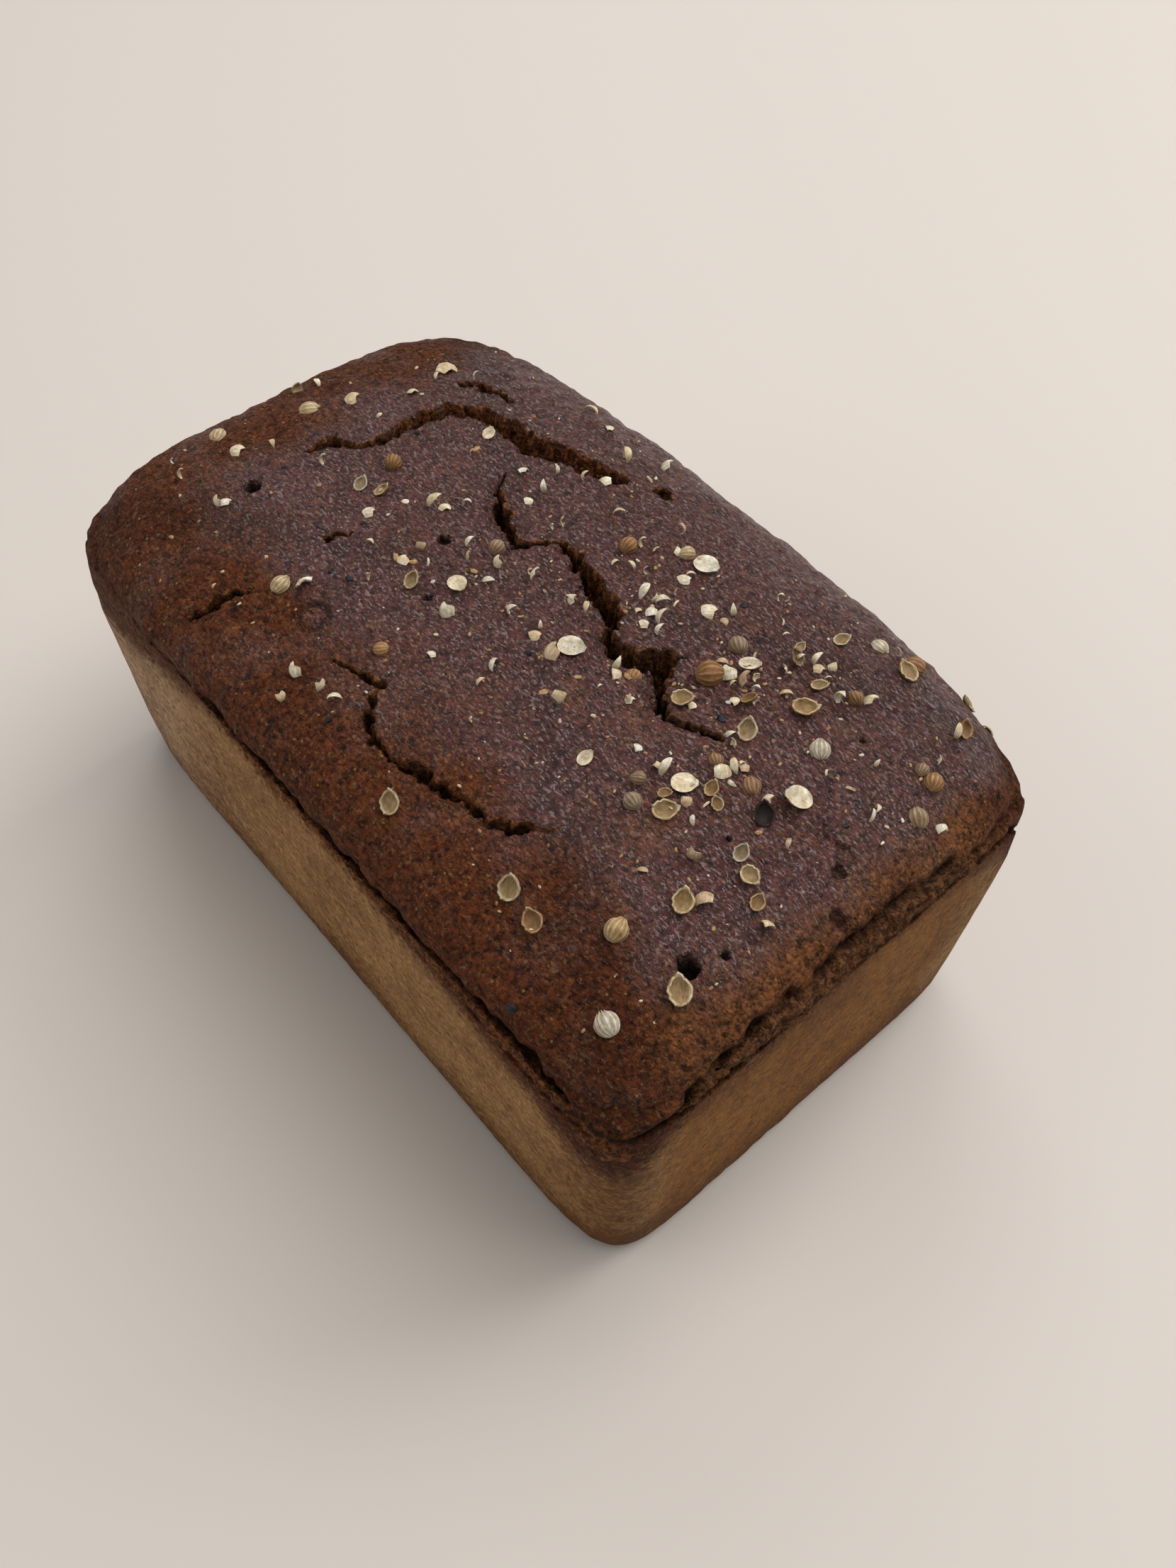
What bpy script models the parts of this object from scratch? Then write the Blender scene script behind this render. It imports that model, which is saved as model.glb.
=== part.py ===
"""Rye bread loaf: a small brick of tin-baked sour rye with a cracked, domed top crust.

One closed solid, the node "loaf". Metres, +Z up. The origin is the middle of the flat base,
the tin's length runs along X and its width along Y.
"""

import math
import random

import bmesh
import bpy
from mathutils import Vector, noise

MM = 0.001

# The tin gives the lower body its shape: straight walls that lean out a little towards the rim.
BASE_HALF_LENGTH = 80.0 * MM
BASE_HALF_WIDTH = 47.6 * MM
RIM_HALF_LENGTH = 81.1 * MM
RIM_HALF_WIDTH = 50.0 * MM
RIM_HEIGHT = 61.5 * MM
BASE_ROUNDING = 4.0 * MM

# The wall's plan is a squared oval, given by its squareness at shares of the way up the wall.
# The dough fills the tin's corners to three quarters of its height and draws back above that.
WALL_SQUARENESS = [(0.0, 11.0), (0.2, 14.0), (0.75, 14.0), (1.0, 9.0)]

# The dough rose over the rim: a small crease at the tin's edge, a lip over it, then the dome.
CREASE_DEPTH = 0.9 * MM
CREASE_HEIGHT = 1.6 * MM
LIP_OVERHANG = 0.8 * MM
LIP_HEIGHT = 2.6 * MM
DOME_RISE = 14.6 * MM
LIP_SQUARENESS = 5.3
DOME_SQUARENESS = 3.7
DOME_SQUARENESS_REACHED = 0.6
SHOULDER_FULLNESS = 4.4
CRUST_SWELL = 0.45 * MM
CRUST_SWELL_LENGTH = 26.0 * MM

# How finely the skin is divided.
POINTS_ROUND = 112
WALL_RINGS = 6
ROUNDING_RINGS = 4
DOME_RINGS = 22

# Cracks: places along each on the top, widest opening and depth, all in millimetres.
CRACKS = {
    "ridge_crack": {
        "route": [(-25, 16), (-19, 9), (-9, 6), (-2, 12), (10, 9), (17, 5), (27, 8), (33, 0), (45, 4)],
        "width": 5.0,
        "depth": 6.0,
        "seed": 3,
    },
    "flank_crack": {
        "route": [(-9, -34), (1, -31), (5, -37), (15, -38), (25, -35), (36, -32), (42, -27)],
        "width": 3.2,
        "depth": 4.0,
        "seed": 5,
    },
    "end_crack": {
        "route": [(-54, -9), (-48, 0), (-47, 12), (-43, 22), (-30, 25), (-16, 29), (-8, 31)],
        "width": 4.0,
        "depth": 4.5,
        "seed": 8,
    },
}
CRACK_STEP = 2.2
CRACK_WANDER = 0.9
CRACK_FLOOR_SHARE = 0.3
CRACK_ABOVE = 5.0
CRACK_TOP_FLARE = 1.5

# Blow holes in the crust: place, radius and how far the middle of the bubble lies below the skin.
BLOW_HOLES = [
    (68.5, -26.0, 1.8, 0.9),
    (-18.0, -30.0, 2.4, -1.4),
    (-51.0, -21.0, 2.2, -0.9),
    (-18.0, -4.0, 1.2, 0.2),
]

CRUST_COLOUR = (0.085, 0.036, 0.020, 1.0)
CRUST_ROUGHNESS = 0.62


def clear_scene():
    for old in list(bpy.data.objects):
        bpy.data.objects.remove(old, do_unlink=True)


def wall_squareness(share):
    """Squareness of the plan a share of the way up the tin's wall."""
    for (low, at_low), (high, at_high) in zip(WALL_SQUARENESS, WALL_SQUARENESS[1:]):
        if share <= high:
            return at_low + (at_high - at_low) * (share - low) / (high - low)
    return WALL_SQUARENESS[-1][1]


def plan_radius(angle, half_length, half_width, squareness):
    """Distance from the middle to a squared oval, in the direction of the angle."""
    across = abs(math.cos(angle)) / half_length
    along = abs(math.sin(angle)) / half_width
    return (across**squareness + along**squareness) ** (-1.0 / squareness)


def plan_angles():
    """Directions whose points lie evenly round the rim, starting on +X."""
    fine = 3600
    angles = [2.0 * math.pi * i / fine for i in range(fine + 1)]
    points = []
    for angle in angles:
        radius = plan_radius(angle, RIM_HALF_LENGTH, RIM_HALF_WIDTH, wall_squareness(1.0))
        points.append(Vector((radius * math.cos(angle), radius * math.sin(angle))))
    run = [0.0]
    for before, after in zip(points, points[1:]):
        run.append(run[-1] + (after - before).length)
    chosen = []
    index = 0
    for k in range(POINTS_ROUND):
        goal = run[-1] * k / POINTS_ROUND
        while run[index + 1] < goal:
            index += 1
        share = (goal - run[index]) / (run[index + 1] - run[index])
        chosen.append(angles[index] + share * (angles[index + 1] - angles[index]))
    return chosen


def crust_swell(x, y):
    """Low, slow swellings of the baked top."""
    place = Vector((x, y, 0.0)) / CRUST_SWELL_LENGTH
    return CRUST_SWELL * noise.noise(place)


def dome_height(x, y):
    """Height of the top crust above the base at a place well inside the lip."""
    half_length = RIM_HALF_LENGTH + LIP_OVERHANG
    half_width = RIM_HALF_WIDTH + LIP_OVERHANG
    share = ((abs(x) / half_length) ** DOME_SQUARENESS + (abs(y) / half_width) ** DOME_SQUARENESS) ** (
        1.0 / DOME_SQUARENESS
    )
    share = min(share, 1.0)
    rise = DOME_RISE * math.sqrt(1.0 - share**SHOULDER_FULLNESS)
    return RIM_HEIGHT + LIP_HEIGHT + rise + crust_swell(x, y) * (1.0 - share)


def tin_ring(share):
    """Half length, half width, squareness and height a share of the way up the tin's wall."""
    half_length = BASE_HALF_LENGTH + share * (RIM_HALF_LENGTH - BASE_HALF_LENGTH)
    half_width = BASE_HALF_WIDTH + share * (RIM_HALF_WIDTH - BASE_HALF_WIDTH)
    return half_length, half_width, wall_squareness(share), share * RIM_HEIGHT


def skin_rings(angles):
    """Rings of points from the edge of the flat base up to the middle of the dome."""
    rings = []

    def add(half_length, half_width, squareness, height):
        ring = []
        for angle in angles:
            radius = plan_radius(angle, half_length, half_width, squareness)
            ring.append(Vector((radius * math.cos(angle), radius * math.sin(angle), height)))
        rings.append(ring)

    for i in range(ROUNDING_RINGS):
        turn = 0.5 * math.pi * i / ROUNDING_RINGS
        height = BASE_ROUNDING * (1.0 - math.cos(turn))
        inset = BASE_ROUNDING * (1.0 - math.sin(turn))
        half_length, half_width, squareness, _ = tin_ring(height / RIM_HEIGHT)
        add(half_length - inset, half_width - inset, squareness, height)
    low = BASE_ROUNDING / RIM_HEIGHT
    for i in range(WALL_RINGS + 1):
        add(*tin_ring(low + (1.0 - low) * i / WALL_RINGS))
    half_length, half_width, squareness, height = tin_ring(1.0)
    add(half_length - CREASE_DEPTH, half_width - CREASE_DEPTH, squareness, height + 0.5 * CREASE_HEIGHT)
    add(
        half_length + 0.7 * LIP_OVERHANG,
        half_width + 0.7 * LIP_OVERHANG,
        0.5 * (squareness + LIP_SQUARENESS),
        height + CREASE_HEIGHT,
    )

    for i in range(DOME_RINGS):
        turn = 0.5 * math.pi * i / DOME_RINGS
        share = math.cos(turn) ** (2.0 / SHOULDER_FULLNESS)
        blend = min(1.0, math.sin(turn) / DOME_SQUARENESS_REACHED)
        squareness = LIP_SQUARENESS + blend * (DOME_SQUARENESS - LIP_SQUARENESS)
        ring = []
        for angle in angles:
            radius = share * plan_radius(
                angle, RIM_HALF_LENGTH + LIP_OVERHANG, RIM_HALF_WIDTH + LIP_OVERHANG, squareness
            )
            x = radius * math.cos(angle)
            y = radius * math.sin(angle)
            height = RIM_HEIGHT + LIP_HEIGHT + DOME_RISE * math.sin(turn)
            ring.append(Vector((x, y, height + crust_swell(x, y) * (1.0 - share))))
        rings.append(ring)
    return rings


def crust_material():
    material = bpy.data.materials.new("rye_crust")
    material.use_nodes = True
    shader = material.node_tree.nodes["Principled BSDF"]
    shader.inputs["Base Color"].default_value = CRUST_COLOUR
    shader.inputs["Roughness"].default_value = CRUST_ROUGHNESS
    shader.inputs["Metallic"].default_value = 0.0
    material.diffuse_color = CRUST_COLOUR
    return material


def object_from(name, mesh_maker):
    """A new object whose mesh the given function fills in."""
    mesh = bpy.data.meshes.new(name)
    made = bpy.data.objects.new(name, mesh)
    bpy.context.scene.collection.objects.link(made)
    shape = bmesh.new()
    mesh_maker(shape)
    bmesh.ops.recalc_face_normals(shape, faces=shape.faces)
    shape.to_mesh(mesh)
    shape.free()
    return made


def bake_skin(shape):
    """Loaf skin: rings bridged from the flat base up, closed by the middle of the dome."""
    rings = []
    for ring in skin_rings(plan_angles()):
        rings.append([shape.verts.new(point) for point in ring])
    shape.faces.new(reversed(rings[0]))
    for lower, upper in zip(rings, rings[1:]):
        for k in range(POINTS_ROUND):
            after = (k + 1) % POINTS_ROUND
            shape.faces.new((lower[k], lower[after], upper[after], upper[k]))
    crown = shape.verts.new((0.0, 0.0, dome_height(0.0, 0.0)))
    for k in range(POINTS_ROUND):
        shape.faces.new((rings[-1][k], rings[-1][(k + 1) % POINTS_ROUND], crown))


def crack_stations(crack):
    """Evenly spaced places along a crack that wander to each side, as torn crust does."""
    draw = random.Random(crack["seed"])
    stations = []
    for start, end in zip(crack["route"], crack["route"][1:]):
        start = Vector(start)
        end = Vector(end)
        steps = max(1, round((end - start).length / CRACK_STEP))
        for i in range(steps):
            stations.append(start.lerp(end, i / steps))
    stations.append(Vector(crack["route"][-1]))
    jagged = []
    for place in stations:
        shift = Vector((draw.uniform(-1, 1), draw.uniform(-1, 1))) * CRACK_WANDER
        jagged.append(place + shift)
    return jagged, draw


def cut_crack(shape, crack):
    """A wedge along the crack, pointed at both ends and narrower at its floor."""
    stations, draw = crack_stations(crack)
    last = len(stations) - 1
    sections = []
    for i, place in enumerate(stations):
        before = stations[max(i - 1, 0)]
        after = stations[min(i + 1, last)]
        along = (after - before).normalized()
        side = Vector((-along.y, along.x))
        opening = math.sin(math.pi * (i + 0.5) / (last + 1)) ** 0.6
        width = crack["width"] * opening * draw.uniform(0.65, 1.0)
        depth = crack["depth"] * opening * draw.uniform(0.8, 1.0)
        skin = dome_height(place.x * MM, place.y * MM) / MM
        floor_half = 0.5 * width * CRACK_FLOOR_SHARE
        top_half = 0.5 * width * CRACK_TOP_FLARE
        section = []
        for offset, height in (
            (-top_half, skin + CRACK_ABOVE),
            (-floor_half, skin - depth),
            (floor_half, skin - depth),
            (top_half, skin + CRACK_ABOVE),
        ):
            spot = place + side * offset
            section.append(shape.verts.new(Vector((spot.x, spot.y, height)) * MM))
        sections.append(section)
    shape.faces.new(sections[0])
    shape.faces.new(reversed(sections[-1]))
    for near, far in zip(sections, sections[1:]):
        for k in range(4):
            after = (k + 1) % 4
            shape.faces.new((near[k], near[after], far[after], far[k]))


def cut_away(loaf, cutter):
    """Take the cutter's space out of the loaf and throw the cutter away."""
    cut = loaf.modifiers.new(cutter.name, "BOOLEAN")
    cut.operation = "DIFFERENCE"
    cut.solver = "EXACT"
    cut.object = cutter
    bpy.context.view_layer.objects.active = loaf
    bpy.ops.object.modifier_apply(modifier=cut.name)
    bpy.data.objects.remove(cutter, do_unlink=True)


def cut_blow_hole(shape, hole):
    x, y, radius, depth = hole
    height = dome_height(x * MM, y * MM) - depth * MM
    made = bmesh.ops.create_icosphere(shape, subdivisions=2, radius=radius * MM)
    bmesh.ops.translate(shape, verts=made["verts"], vec=(x * MM, y * MM, height))


def main():
    clear_scene()
    loaf = object_from("loaf", bake_skin)
    for name, crack in CRACKS.items():
        cut_away(loaf, object_from(name, lambda shape, crack=crack: cut_crack(shape, crack)))
    for hole in BLOW_HOLES:
        cut_away(loaf, object_from("blow_hole", lambda shape, hole=hole: cut_blow_hole(shape, hole)))
    loaf.data.materials.clear()
    loaf.data.materials.append(crust_material())
    loaf.data.shade_smooth()
    loaf.data.set_sharp_from_angle(angle=math.radians(35.0))


main()
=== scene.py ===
import math
import random

import bpy
import numpy as np
from mathutils import Matrix, Vector


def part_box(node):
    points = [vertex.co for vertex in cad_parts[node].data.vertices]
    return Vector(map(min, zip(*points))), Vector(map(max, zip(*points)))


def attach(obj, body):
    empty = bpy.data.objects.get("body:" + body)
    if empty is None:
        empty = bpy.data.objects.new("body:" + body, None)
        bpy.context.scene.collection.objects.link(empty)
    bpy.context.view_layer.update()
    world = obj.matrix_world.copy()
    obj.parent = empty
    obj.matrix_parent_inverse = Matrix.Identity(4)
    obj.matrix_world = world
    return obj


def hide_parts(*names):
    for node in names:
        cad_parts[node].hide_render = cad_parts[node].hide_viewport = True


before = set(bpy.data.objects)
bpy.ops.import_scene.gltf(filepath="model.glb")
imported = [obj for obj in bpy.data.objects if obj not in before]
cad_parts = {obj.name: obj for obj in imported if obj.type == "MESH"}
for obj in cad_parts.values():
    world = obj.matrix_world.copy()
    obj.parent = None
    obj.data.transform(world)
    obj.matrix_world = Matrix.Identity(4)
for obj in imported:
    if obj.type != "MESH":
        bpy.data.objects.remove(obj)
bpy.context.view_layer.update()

MM = 0.001


# ---- The loaf: its skin ---------------------------------------------------------------------
# One brick of sour rye, baked in a small tin: straight walls where it lay against the tin, and
# above the rim a dome that rose free. The skin starts as a flat grid, -1 to 1 both ways, with
# finer cells where the crust is torn. Its edge is drawn down into rows and closed by the base.

base_corner, lip_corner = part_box("loaf")
LIP_HALF_LENGTH = lip_corner.x
LIP_HALF_WIDTH = lip_corner.y
DOME_RISE = 14.6 * MM
LIP_HEIGHT = lip_corner.z - DOME_RISE
RIM_HEIGHT = LIP_HEIGHT - 2.6 * MM
LIP_OVERHANG = 0.8 * MM
WALL_LEAN_LONG = 1.1 * MM
WALL_LEAN_WIDE = 2.4 * MM
BASE_ROUNDING = 4.0 * MM
SHOULDER_FULLNESS = 4.4
SHOULDER_SHARE = 0.97
# The plan is a squared oval all the way up: its squareness at heights in millimetres.
SQUARENESS = [
    (0, 11), (12, 14), (46, 14), (53, 12), (61.5, 9), (64.1, 5.3), (69.3, 4.36), (72.9, 3.7),
]

GRID_CELLS = (206, 128)
FOLD_LOW = 53.0 * MM
FOLD_ROWS = 37
WALL_ROWS = 14
ROUNDING_ROWS = 4

# The tears in the crust: places along each and the opening there, the depth, how wide the crust
# sags towards the opening on the right of the route, all in millimetres, and how dark the painted
# shade in its narrow parts is.
TEARS = {
    "ridge": {
        "route": [
            (-25, 16, 0.8), (-22, 12, 1.2), (-20, 10, 1.6), (-14, 7, 2.6), (-9, 5.5, 1.8),
            (-7, 8, 0.7), (-5, 11.5, 0.8), (-1, 12, 2.0), (5, 10, 2.8), (10, 8.5, 3.2),
            (14, 8, 2.8), (17, 4, 2.2), (20, 3, 2.6), (24, 4.5, 3.0), (27, 7.5, 4.6),
            (30, 4, 2.2), (33, 0.5, 1.8), (36, -0.5, 1.2), (45, 4, 0.9),
        ],
        "depth": 7.0,
        "gentle": 2.6,
        "crack_shade": 1.0,
    },
    "flank": {
        "route": [
            (-9, -34, 0.6), (-3, -32, 1.2), (1.5, -31, 1.6), (4, -36, 1.8), (9, -37.5, 1.3),
            (14, -38, 1.0), (18, -36, 1.8), (22, -35.5, 2.0), (27, -34.5, 1.5), (33, -34, 0.9),
            (36, -32, 1.4), (38.5, -29.5, 0.9), (41.5, -27, 0.5),
        ],
        "depth": 3.8,
        "gentle": 0.8,
        "crack_shade": 0.7,
    },
    "far_end": {
        "route": [
            (-54, -9, 0.8), (-53, -3, 2.0), (-48, -0.5, 1.0), (-46.5, 6, 1.8), (-47, 12, 2.6),
            (-46.5, 19, 2.8), (-43, 22.5, 3.0), (-35, 24.5, 4.2), (-28.5, 24, 5.2),
            (-24, 26.5, 5.0), (-15.5, 29, 3.6), (-10, 31, 1.8), (-8, 31, 0.8),
        ],
        "depth": 4.8,
        "gentle": 1.4,
        "crack_shade": 0.6,
    },
    "far_branch": {
        "route": [(-52, 25, 0.8), (-49, 29, 2.0), (-45.5, 30, 1.8), (-39.5, 30.5, 0.8)],
        "depth": 2.4,
        "gentle": 0.5,
        "crack_shade": 0.8,
    },
    "far_corner": {
        "route": [
            (-35, -46, 1.0), (-33.5, -43.5, 1.5), (-32.5, -41, 2.2), (-32, -38, 1.6),
            (-29.5, -35, 0.8),
        ],
        "depth": 4.0,
        "gentle": 0.3,
        "crack_shade": 1.0,
    },
    "short": {
        "route": [(-30.5, -20.5, 0.7), (-31, -18, 1.2), (-29, -14, 0.7)],
        "depth": 1.8,
        "gentle": 0.3,
        "crack_shade": 1.0,
    },
    "far_slit": {
        "route": [(-5.5, 34, 0.8), (-3, 35, 2.0), (-0.5, 35.5, 0.8)],
        "depth": 2.2,
        "gentle": 0.5,
        "crack_shade": 1.0,
    },
    "crease": {
        "route": [(63, 7, 0.4), (66, 4.5, 0.8), (70, 6, 1.0), (73, 5, 0.5)],
        "depth": 0.9,
        "gentle": 2.4,
        "crack_shade": 0.0,
    },
}
# Burst bubbles: place, radius and depth in millimetres.
BLOW_HOLES = [
    (68.6, -26.2, 1.65, 4.0),
    (70.8, -21.1, 0.7, 1.4),
    (-51.5, -21.2, 1.8, 2.4),
    (-17.6, -3.7, 1.3, 1.6),
    (-8.3, -14.2, 1.0, 1.4),
    (58.0, -8.3, 0.5, 1.0),
    (58.2, 21.1, 0.7, 1.2),
    (71.6, 1.9, 1.3, 0.9),
    (76.3, -3.0, 1.4, 0.9),
    (60.9, -44.2, 1.1, 0.5),
]
# A shallow ring where a seed came away: place and radius in millimetres.
SEED_DENT = (-17.8, -30.8, 2.7)


def only(piece):
    """Select this piece alone and make it the active one."""
    bpy.ops.object.select_all(action="DESELECT")
    piece.select_set(True)
    bpy.context.view_layer.objects.active = piece


def take_up(piece, vertices=None, edges=None, faces=None):
    """Open a piece's mesh for editing, with only the parts selected that are marked as true."""
    only(piece)
    modes = (vertices is not None, edges is not None, faces is not None)
    bpy.context.tool_settings.mesh_select_mode = modes
    mesh = piece.data
    for parts, chosen in ((mesh.vertices, vertices), (mesh.edges, edges), (mesh.polygons, faces)):
        marks = np.zeros(len(parts), bool) if chosen is None else np.asarray(chosen, bool)
        parts.foreach_set("select", marks)
    bpy.ops.object.mode_set(mode="EDIT")


def put_down():
    """Close the mesh that is open for editing."""
    bpy.ops.object.mode_set(mode="OBJECT")


def points_of(piece):
    """The vertices of a piece, as rows of x, y, z."""
    flat = np.empty(len(piece.data.vertices) * 3)
    piece.data.vertices.foreach_get("co", flat)
    return flat.reshape(-1, 3)


def normals_of(piece):
    """The outward direction at each vertex of a piece."""
    flat = np.empty(len(piece.data.vertices) * 3)
    piece.data.vertex_normals.foreach_get("vector", flat)
    return flat.reshape(-1, 3)


def edge_ends(piece):
    """The two vertices of each edge of a piece."""
    ends = np.empty(len(piece.data.edges) * 2, np.int32)
    piece.data.edges.foreach_get("vertices", ends)
    return ends.reshape(-1, 2)


def move_points(piece, places):
    """Put the vertices of a piece at these places."""
    piece.data.vertices.foreach_set("co", np.asarray(places, np.float32).ravel())
    piece.data.update()


def add_mark(piece, name, values):
    """Let the mesh carry a value at each point, for the finish to read."""
    marks = piece.data.attributes
    mark = marks.get(name) or marks.new(name, "FLOAT", "POINT")
    mark.data.foreach_set("value", np.asarray(values, np.float32))


def lumps(places, size, seed, detail=1):
    """Smooth uneven values, mostly between -1 and 1, whose lumps have the given size."""
    draw = np.random.default_rng(seed)
    order = draw.permutation(256)
    slopes = draw.normal(size=(256, 3))
    slopes /= np.linalg.norm(slopes, axis=1)[:, None]
    total = np.zeros(len(places))
    for octave in range(detail):
        spot = np.asarray(places) * (2.0**octave / size) + 31.7 * octave
        cell = np.floor(spot).astype(int)
        part = spot - cell
        fade = part**3 * (part * (part * 6 - 15) + 10)
        for corner in np.ndindex(2, 2, 2):
            near = cell + corner
            pick = order[(order[(order[near[:, 0] % 256] + near[:, 1]) % 256] + near[:, 2]) % 256]
            push = np.sum(slopes[pick] * (part - corner), axis=1)
            share = np.prod(np.where(corner, fade, 1 - fade), axis=1)
            total += 1.6 * 0.5**octave * push * share
    return total


def ramp(values, start, end):
    """0 up to start, 1 from end, and a smooth step between them."""
    share = np.clip((values - start) / (end - start), 0.0, 1.0)
    return share * share * (3.0 - 2.0 * share)


def squareness_at(height):
    """How square the plan is at a height."""
    heights, values = zip(*SQUARENESS)
    return np.interp(height / MM, heights, values)


def dome_places(u, v):
    """Place on the smooth dome of each point of the flat grid."""
    share = SHOULDER_SHARE * np.maximum(np.abs(u), np.abs(v))
    height = LIP_HEIGHT + DOME_RISE * np.sqrt(1.0 - share**SHOULDER_FULLNESS)
    squareness = squareness_at(height)
    reach = (np.abs(u) ** squareness + np.abs(v) ** squareness) ** (1.0 / squareness)
    pull = share / np.maximum(reach, 1e-9)
    return np.stack([LIP_HALF_LENGTH * u * pull, LIP_HALF_WIDTH * v * pull, height], 1)


def torn_line(route, seed):
    """A tear's route and opening, with a short jagged step every 0.7 mm."""
    draw = random.Random(seed)
    line = []
    for start, end in zip(route, route[1:]):
        start, end = Vector(start), Vector(end)
        steps = max(1, round((end - start).xy.length / 0.7))
        for i in range(steps):
            shift = Vector((draw.uniform(-1, 1), draw.uniform(-1, 1), draw.uniform(-1, 1))) * 0.3
            line.append(tuple(start.lerp(end, i / steps) + shift))
    line.append(route[-1])
    return np.array(line) * MM


def inside_tear(places, tear):
    """How far each place lies inside the tear's edge, which side of it, and the opening there."""
    line = tear["line"][:, :2]
    start, along = line[:-1], line[1:] - line[:-1]
    length = np.linalg.norm(along, axis=1)
    run = np.concatenate([[0.0], np.cumsum(length)])
    nearest = np.full(len(places), 1e9)
    side = np.zeros(len(places))
    where = np.zeros(len(places))
    for i in range(len(start)):
        offset = places[:, :2] - start[i]
        share = np.clip(offset @ along[i] / length[i] ** 2, 0.0, 1.0)
        gap = offset - share[:, None] * along[i]
        distance = np.hypot(gap[:, 0], gap[:, 1])
        closer = distance < nearest
        nearest = np.where(closer, distance, nearest)
        side = np.where(closer, np.sign(along[i][0] * gap[:, 1] - along[i][1] * gap[:, 0]), side)
        where = np.where(closer, run[i] + share * length[i], where)
    opening = np.interp(where, run, np.maximum(tear["line"][:, 2], 0.3 * MM)) / MM
    opening *= ramp(where, -0.3 * MM, 1.5 * MM) * ramp(run[-1] - where, -0.3 * MM, 1.5 * MM)
    spots = np.stack([where, side * 10 * MM, nearest], 1)
    jag = lumps(spots, 3.2 * MM, tear["seed"] + 1) + lumps(spots, 1.3 * MM, tear["seed"] + 2, 2)
    half = 0.5 * opening + jag * np.minimum(0.9, 0.40 * opening)
    return np.maximum(half, 0.08) * MM - nearest, side, opening


for seed, tear in enumerate(TEARS.values()):
    tear["seed"] = 10 * seed + 3
    tear["line"] = torn_line(tear["route"], tear["seed"])


def near_line(places, line, margin):
    """Which places lie in the box round a line, widened by the margin."""
    low, high = line[:, :2].min(0), line[:, :2].max(0)
    middle, reach = (low + high) / 2, (high - low) / 2
    return np.all(np.abs(places[:, :2] - middle) < reach + margin, axis=1)


def near_torn_edge(places, margin):
    """Whether each place lies in a tear or a blow hole, or within the margin of its edge."""
    chosen = np.zeros(len(places), bool)
    for tear in TEARS.values():
        index = np.flatnonzero(near_line(places, tear["line"], 7 * MM))
        chosen[index] |= inside_tear(places[index], tear)[0] > -margin
    for x, y, radius, depth in BLOW_HOLES:
        chosen |= np.hypot(places[:, 0] - x * MM, places[:, 1] - y * MM) < radius * MM + margin
    x, y, radius = SEED_DENT
    chosen |= np.hypot(places[:, 0] - x * MM, places[:, 1] - y * MM) < radius * MM + margin
    return chosen


bpy.ops.mesh.primitive_grid_add(x_subdivisions=GRID_CELLS[0], y_subdivisions=GRID_CELLS[1], size=2)
loaf = bpy.context.active_object
loaf.name = "rye_loaf"
loaf.data.name = "rye_loaf"

for margin in (0.9 * MM, 0.3 * MM):
    flat = points_of(loaf)
    hit = near_torn_edge(dome_places(flat[:, 0], flat[:, 1]), margin)
    take_up(loaf, faces=[any(hit[i] for i in face.vertices) for face in loaf.data.polygons])
    bpy.ops.mesh.subdivide(number_cuts=1, quadcorner="INNERVERT")
    put_down()

rows = FOLD_ROWS + WALL_ROWS + ROUNDING_ROWS
flat = points_of(loaf)
at_edge = np.maximum(np.abs(flat[:, 0]), np.abs(flat[:, 1])) > 1 - 1e-5
take_up(loaf, edges=at_edge[edge_ends(loaf)].all(axis=1))
bpy.ops.mesh.extrude_region_move(TRANSFORM_OT_translate={"value": (0, 0, -rows)})
put_down()
drawn = points_of(loaf)[:, 2] < -0.5
ends = edge_ends(loaf)
take_up(loaf, edges=drawn[ends[:, 0]] != drawn[ends[:, 1]])
bpy.ops.mesh.subdivide(number_cuts=rows - 1)
put_down()
lowest = points_of(loaf)[:, 2] < 0.5 - rows
take_up(loaf, edges=lowest[edge_ends(loaf)].all(axis=1))
bpy.ops.mesh.edge_face_add()
put_down()


# ---- The loaf: its form ---------------------------------------------------------------------
# The dome is fullest in the middle and falls to a lip over the tin's rim. Two torn folds run
# round under the lip: the free crust ends at the upper one, and the wall that lay on the tin
# begins at the lower one. The dough didn't fill the tin's top corners.

# Bearings round the loaf in degrees, the near corner at -45 and the near end at 0. Each fold
# has its height and how far it is drawn in, in millimetres, at given bearings.
UPPER_FOLD = [
    (-180, 64, 0.3), (-140, 60, 0.3), (-128, 64, 0.2), (-112, 64.5, 0.5), (-104, 65.3, 1.3),
    (-90, 65.6, 1.5), (-75, 65.2, 1.7), (-60, 64.6, 1.5), (-52, 64.0, 1.8), (-48, 62.2, 2.6),
    (-43, 61.6, 2.8), (-38, 62.2, 1.8), (-32, 66.5, 1.0), (-20, 68.6, 1.1), (0, 69.2, 1.2),
    (12, 69.2, 1.4), (20, 68.3, 1.3), (30, 66.6, 0.9), (38, 65, 0.5), (45, 60, 0.8), (60, 62, 0.5),
    (120, 63, 0.4),
]
LOWER_FOLD = [
    (-180, 60, 0.1), (-150, 58, 0.2), (-135, 47, 0.9), (-126, 50, 0.4), (-120, 54, 0.1),
    (-75, 58, 0.1), (-60, 57.5, 0.3), (-52, 57, 0.6), (-47, 55.5, 0.5), (-43, 57.0, 0.3),
    (-38, 60.0, 1.6), (-20, 60.4, 1.9), (0, 61, 1.8), (12, 60.5, 2.0), (22, 60.6, 2.2),
    (32, 61.5, 2.3), (38, 60, 2.2), (45, 50, 1.2), (52, 55, 0.5), (70, 60, 0.3),
]
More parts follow.
